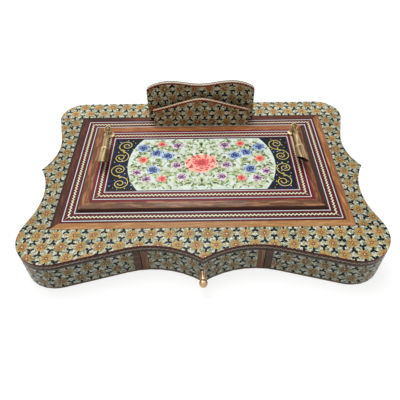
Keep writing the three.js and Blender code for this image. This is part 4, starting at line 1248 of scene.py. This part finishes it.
def make_scrolls():
    """Two gold scrolls at each end of the panel, with leaves and dots round them."""
    shape, specks = Shape(), Shape()
    lines = []
    for sign in (-1, 1):
        for top, bottom in (((81.4, 36.4), (86.0, 13.2)), ((86.0, -2.6), (81.8, -26.2))):
            line = scroll_line(*(Vector((sign * x, y)) for x, y in (top, bottom)))
            lines.extend(line)
            ribbon(shape, line, SCROLL_WIDTH, SCROLL_LEVEL)
            for end in (line[0], line[-1]):
                dot(shape, end, SCROLL_EYE_RADIUS, SCROLL_EYE_LEVEL, "gold")
            half = len(line) // 2
            for place, lean in ((half - 5, 1), (half + 5, -1)):
                along = (line[place + 1] - line[place - 1]).normalized() * lean
                tip = line[place] + along * 2.6 + along.orthogonal() * 2.2
                dab(shape, line[place], tip, 1.1, SCROLL_LEAF_LEVEL, "gold", bend=0.4)
    rng = random.Random(DOTS_SEED)
    spots = []
    for _ in range(9000):
        if len(spots) == DOT_COUNT:
            break
        spot = PANEL_CENTRE + Vector((rng.choice((-1, 1)) * rng.uniform(60, 92.6), rng.uniform(-38.8, 38.8)))
        free = all((spot - s).length > DOT_GAP for s in spots) and all((spot - s).length > 1.5 for s in lines)
        if free and beyond_medallion(spot) > 1.2:
            spots.append(spot)
            dot(specks, spot, rng.uniform(0.4, 0.75), DOT_LEVEL, rng.choice(("gold", "gold", "white")))
    shape.piece("panel_scrolls", [GOLD], slot="painting")
    specks.piece("panel_dots", [STROKES], slot="painting")


def make_panel():
    corners = [PANEL_CENTRE + Vector((x * PANEL_HALF.x, y * PANEL_HALF.y)) for x, y in CORNERS]
    for name, outline, low, high, bevel, paint, replaces in (
        ("panel_field", corners, PANEL_LOW.z, FIELD_TOP, 0.05, NAVY_PAINT, ["painted_panel"]),
        ("panel_medallion", medallion_outline(), FIELD_TOP - 0.2, MEDALLION_TOP, 0.04, IVORY_PAINT, ()),
    ):
        shape = Shape()
        plate(shape, outline, low, high, flat_lift, flat_place, bevel)
        shape.piece(name, [paint], replaces=replaces, slot="painting")
    make_scrolls()
    make_flowers()


# ---------------------------------------------------------------- brass

PEN_SPOT = (103.5, 53.0)
PEN_YAW = {"left": 2.0, "right": 0.0}
PEN_SHANK_RADIUS = 1.3
PEN_SHANK_FLOOR = 1.8
FLANGE_RADIUS = 5.75
BALL_Z = RAISED_HIGH + 8.3
BALL_RADIUS = 3.0
SOCKET_TILT = 38.5
SOCKET_OPENING = 67.0
SOCKET_INNER = 3.3
SOCKET_OUTER = 4.2
STEM_RADIUS = 1.2
STEM_COLLAR_RADIUS = 1.8
FUNNEL_SPIN = {"left": 0.0, "right": 42.0}
FUNNEL_START = 14.3
FUNNEL_END_WALL = 1.6
COLLAR = (35.0, 37.0)
COLLAR_RADIUS = 4.95
COLLAR_GROOVE = 0.15
HORN_WALL = 0.7
MOUTH_RADIUS = 6.1
MOUTH_MIDDLE = 54.4
KNOB_DOWEL = (1.4, 13.0)
KNOB_FOOT = 3.0
KNOB_WAIST = 2.68

# Turns the lathe's axis from Z to -Y, with the lathe's Y upwards
FORWARD = Matrix(((1, 0, 0, 0), (0, 0, -1, 0), (0, 1, 0, 0), (0, 0, 0, 1)))


def turned(degrees, axis):
    return Matrix.Rotation(math.radians(degrees), 4, axis)


def funnel_profile(turn):
    """The funnel's wall at an angle round its axis: neck, collar, and horn with a slanting mouth."""
    lean = math.sin(turn)
    low, high = COLLAR
    start, end_wall = FUNNEL_START, FUNNEL_START + FUNNEL_END_WALL
    full, groove = COLLAR_RADIUS, COLLAR_RADIUS - COLLAR_GROOVE
    slope = (MOUTH_RADIUS - full) / (MOUTH_MIDDLE + MOUTH_RADIUS - high)
    cut = (MOUTH_MIDDLE + (full - slope * high) * lean) / (1 - slope * lean)

    def horn(share, inner=0.0):
        along = high + (cut - high) * share
        return full - 0.12 + slope * (along - high) - inner, along

    neck = [(1.5, start), (2.0, start), (2.2, start + 0.1), (2.85, start + 1.2), (3.0, start + 1.7)]
    neck += [(3.0 + 0.8 * t, start + 1.7 + (low - start - 1.9) * t) for t in (0.25, 0.5, 0.75, 1.0)]
    collar = [(full - 0.35, low), (full, low + 0.25), (full, low + 0.7), (groove, low + 0.85),
              (groove, low + 1.15), (full, low + 1.3), (full, high - 0.2), (full - 0.12, high)]
    outer = [horn(share) for share in (0.2, 0.4, 0.6, 0.8, 0.95)]
    radius, lip = horn(1.0)
    rim = [(radius, lip - 0.25), (radius - 0.18, lip), (radius - 0.6, lip), (radius - 0.8, lip - 0.25)]
    inner = [horn(share, HORN_WALL) for share in (0.95, 0.8, 0.5, 0.2)]
    back = [(4.1, high), (3.1, low), (2.3, end_wall), (1.5, end_wall)]
    return neck + collar + outer + rim + inner + back


def make_stand(name, place):
    """The flanged base, whose shank goes down into the wood."""
    foot, shank = RAISED_HIGH, TOP_BOARD_LOW + PEN_SHANK_FLOOR
    profile = [(0, shank), (PEN_SHANK_RADIUS, shank), (PEN_SHANK_RADIUS, foot), (FLANGE_RADIUS, foot)]
    profile += [(radius, foot + rise) for radius, rise in (
        (6.0, 0.2), (6.0, 1.1), (5.8, 1.38), (5.2, 1.5), (4.2, 1.85), (3.55, 2.3), (3.3, 2.7), (3.2, 3.0),
        (3.0, 3.2), (1.5, 3.2), (1.5, 4.6), (0, 4.6))]
    shape = Shape()
    lathe(shape, profile, Matrix.Translation(place))
    shape.piece(f"stand_{name}", [BRASS], replaces=[f"pen_base_{name}"], slot="brass")


def make_socket(name, frame_at):
    """An open cup with a rounded lip on a short turned neck."""
    wall = (SOCKET_OUTER - SOCKET_INNER) / 2
    middle, opening = SOCKET_INNER + wall, math.radians(SOCKET_OPENING)
    lip_centre = (middle * math.sin(opening), middle * math.cos(opening))
    shell = round_profile(SOCKET_OUTER, 180, SOCKET_OPENING, 20)
    shell += round_profile(wall, SOCKET_OPENING - 20, SOCKET_OPENING - 160, 6, lip_centre)
    shell += round_profile(SOCKET_INNER, SOCKET_OPENING, 180, 16)
    neck = [(1.8, -4.8), (3.0, -4.8), (3.2, -4.6), (3.2, -2.2), (1.8, -3.3)]
    shape = Shape()
    lathe(shape, shell, frame_at @ turned(SOCKET_TILT, "X"))
    lathe(shape, neck, frame_at, closed=True)
    shape.piece(f"cup_{name}", [BRIGHT_BRASS], f"{name}_socket", [f"pen_socket_{name}"], "brass")


def make_ball(name, frame_at):
    """The ball with its stem, which has a collar on each side of the funnel's end wall."""
    radius, wide = STEM_RADIUS, STEM_COLLAR_RADIUS
    profile = round_profile(BALL_RADIUS, 180, math.degrees(math.asin(radius / BALL_RADIUS)), 24)
    profile += [(radius, 6.0), (radius, 9.0)]
    for at, beyond in ((FUNNEL_START - 1.0, radius), (FUNNEL_START + 1.8, 0)):
        profile += [(radius, at), (wide - 0.1, at), (wide, at + 0.1), (wide, at + 0.6),
                    (wide - 0.1, at + 0.7), (beyond, at + 0.7)]
    shape = Shape()
    lathe(shape, profile, frame_at @ FORWARD)
    shape.piece(f"ball_{name}", [SHADED_BALL_BRASS], f"{name}_ball", [f"pen_ball_{name}"], "brass")


def make_pen_set(name, sign):
    x, y = sign * PEN_SPOT[0], PEN_SPOT[1]
    frame_at = Matrix.Translation((x, y, BALL_Z)) @ turned(-sign * PEN_YAW[name], "Z")
    make_stand(name, (x, y, 0))
    make_socket(name, frame_at)
    make_ball(name, frame_at)
    shape = Shape()
    spin = turned(sign * FUNNEL_SPIN[name], "Y")
    lathe(shape, funnel_profile, frame_at @ spin @ FORWARD, 64, closed=True, lit=COLLAR, lit_radius=4.5)
    shape.piece(f"funnel_{name}", [BRASS, BRIGHT_BRASS], f"{name}_funnel", [f"pen_funnel_{name}"], "brass")


def make_knob():
    """A ball on a tapering stem, whose dowel goes into the drawer's front."""
    low, high = box_mm("drawer_knob")
    dowel, depth = KNOB_DOWEL
    radius = (high.x - low.x) / 2
    ball_at = high.y - low.y - depth - radius
    profile = [(0, -depth), (dowel, -depth), (dowel, 0.0), (KNOB_FOOT - 0.2, 0.0), (KNOB_FOOT, 0.2),
               (KNOB_FOOT, 0.7), (KNOB_FOOT - 0.06, 0.9), (KNOB_WAIST + 0.12, 5.0),
               (KNOB_WAIST, ball_at - 3.4)]
    waist_angle = 180 - math.degrees(math.asin(KNOB_WAIST / radius))
    profile += round_profile(radius, waist_angle + 2, 0, 24, (0, ball_at))
    shape = Shape()
    place = Matrix.Translation((0, low.y + ball_at + radius, (low.z + high.z) / 2)) @ FORWARD
    lathe(shape, profile, place)
    shape.piece("knob", [ROSE_BRASS], "drawer", ["drawer_knob"], "brass")


# ---------------------------------------------------------------- the CAD's own boards

BOARD_MATERIALS = {
    "drawer_side": DRAWER_WOOD, "drawer_bottom": DRAWER_WOOD, "drawer_back": DRAWER_WOOD,
    "drawer_front": FRONT_WOOD, "bottom_board": BASE_WOOD, "holder": UPRIGHT_WOOD, "pocket": UPRIGHT_WOOD,
    "underlay": FELT,
}
WELD_GAP = 0.005
BOARD_EASE = 0.18
BOARD_EDGE_ANGLE = math.radians(50)


def finish_cad_nodes():
    """Gives the boards that stay as they are a wood or felt, and eases their sawn edges."""
    for name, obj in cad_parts.items():
        if obj.hide_render:
            continue
        fits = [material for start, material in BOARD_MATERIALS.items() if name.startswith(start)]
        obj.data.materials.clear()
        obj.data.materials.append(fits[0] if fits else CASE_WOOD)
        weld = obj.modifiers.new("weld", "WELD")
        weld.merge_threshold = WELD_GAP * MM
        bevel = obj.modifiers.new("bevel", "BEVEL")
        bevel.width = BOARD_EASE * MM
        bevel.segments = 2
        bevel.limit_method = "ANGLE"
        bevel.angle_limit = BOARD_EDGE_ANGLE


make_top_veneer()
make_edge_band()
make_side_veneers()
make_frame()
make_holder()
make_panel()
make_pen_set("left", -1)
make_pen_set("right", 1)
make_knob()
finish_cad_nodes()


# ---------------------------------------------------------------- camera, light and floor

CAMERA_PLACE = Vector((-1.448, -319.883, 328.252)) * MM
CAMERA_PITCH, CAMERA_YAW, CAMERA_ROLL = (math.radians(a) for a in (46.703, -0.132, -0.872))
CAMERA_LENS = 37.01
FLOOR_REACH = 4
FLOOR_GLOW = 0.78
FLOOR_SHADE_SEEN = (0.32, 0.32, 0.32)
FLOOR_SHADE = (0.35, 0.35, 0.35)
WORLD_LIGHT = 0.5
WHITE = (1.0, 1.0, 1.0)


def make_camera():
    p, y, r = CAMERA_PITCH, CAMERA_YAW, CAMERA_ROLL
    forward = Vector((math.sin(y) * math.cos(p), math.cos(y) * math.cos(p), -math.sin(p)))
    level = Vector((math.cos(y), -math.sin(y), 0))
    upright = level.cross(forward)
    right = math.cos(r) * level + math.sin(r) * upright
    up = -math.sin(r) * level + math.cos(r) * upright
    data = bpy.data.cameras.new("camera")
    data.lens = CAMERA_LENS
    data.sensor_width = 36
    data.clip_start = 0.01
    camera = add_object("camera", data)
    turn = Matrix((right, up, -forward)).transposed()
    camera.matrix_world = Matrix.Translation(CAMERA_PLACE) @ turn.to_4x4()
    bpy.context.scene.camera = camera


def area_lamp(name, place, aim, size, power, colour=WHITE):
    data = bpy.data.lights.new(name, "AREA")
    data.shape = "RECTANGLE"
    data.size, data.size_y = size
    data.energy = power
    data.color = colour
    lamp = add_object(name, data)
    lamp.location = place
    lamp.rotation_euler = (Vector(aim) - Vector(place)).to_track_quat("-Z", "Y").to_euler()
    return lamp


def seen_directly(graph):
    """1 for rays from the camera, a mirror or a glass, which show the white background."""
    camera, glossy, clear = (
        graph.make("LightPath", out=f"Is {kind} Ray") for kind in ("Camera", "Glossy", "Transmission"))
    return graph.math("MAXIMUM", graph.math("MAXIMUM", camera, glossy), clear)


def make_floor():
    """A pale floor that shows white, with part of its light its own, so that its shadow stays soft."""
    mesh = bpy.data.meshes.new("floor")
    mesh.from_pydata([(x * FLOOR_REACH, y * FLOOR_REACH, 0) for x, y in CORNERS], [], [(0, 1, 2, 3)])
    floor = add_object("floor", mesh)
    g = Graph("floor", specular=0.0)
    seen = seen_directly(g)
    g.feed(g.shader, {"Emission Color": WHITE, "Emission Strength": seen * FLOOR_GLOW})
    mesh.materials.append(g.finish(g.mix(seen, FLOOR_SHADE, FLOOR_SHADE_SEEN), 0.8))


def make_world():
    world = bpy.data.worlds.new("world")
    bpy.context.scene.world = world
    world.use_nodes = True
    g = Tree(world.node_tree)
    light = seen_directly(g) * (1 - WORLD_LIGHT) + WORLD_LIGHT
    g.feed(g.tree.nodes["Background"], {"Color": WHITE, "Strength": light})


bpy.context.scene.view_settings.view_transform = "Standard"
make_camera()
make_floor()
make_world()
area_lamp("overhead", place=(-0.34, 0.44, 1.46), aim=(0, 0, 0), size=(1.1, 1.1), power=17.5)
area_lamp("window", place=(-0.05, 1.42, 1.625), aim=(0, -0.055, 0.041), size=(0.13, 0.03), power=0.5)
# The third lamp only adds sheen
sheen = area_lamp("sheen", place=(0.0, 1.04, 1.5), aim=(0, -0.095, 0.038), size=(0.5, 0.3), power=7.0,
                  colour=(0.75, 0.92, 1.0))
sheen.visible_diffuse = False
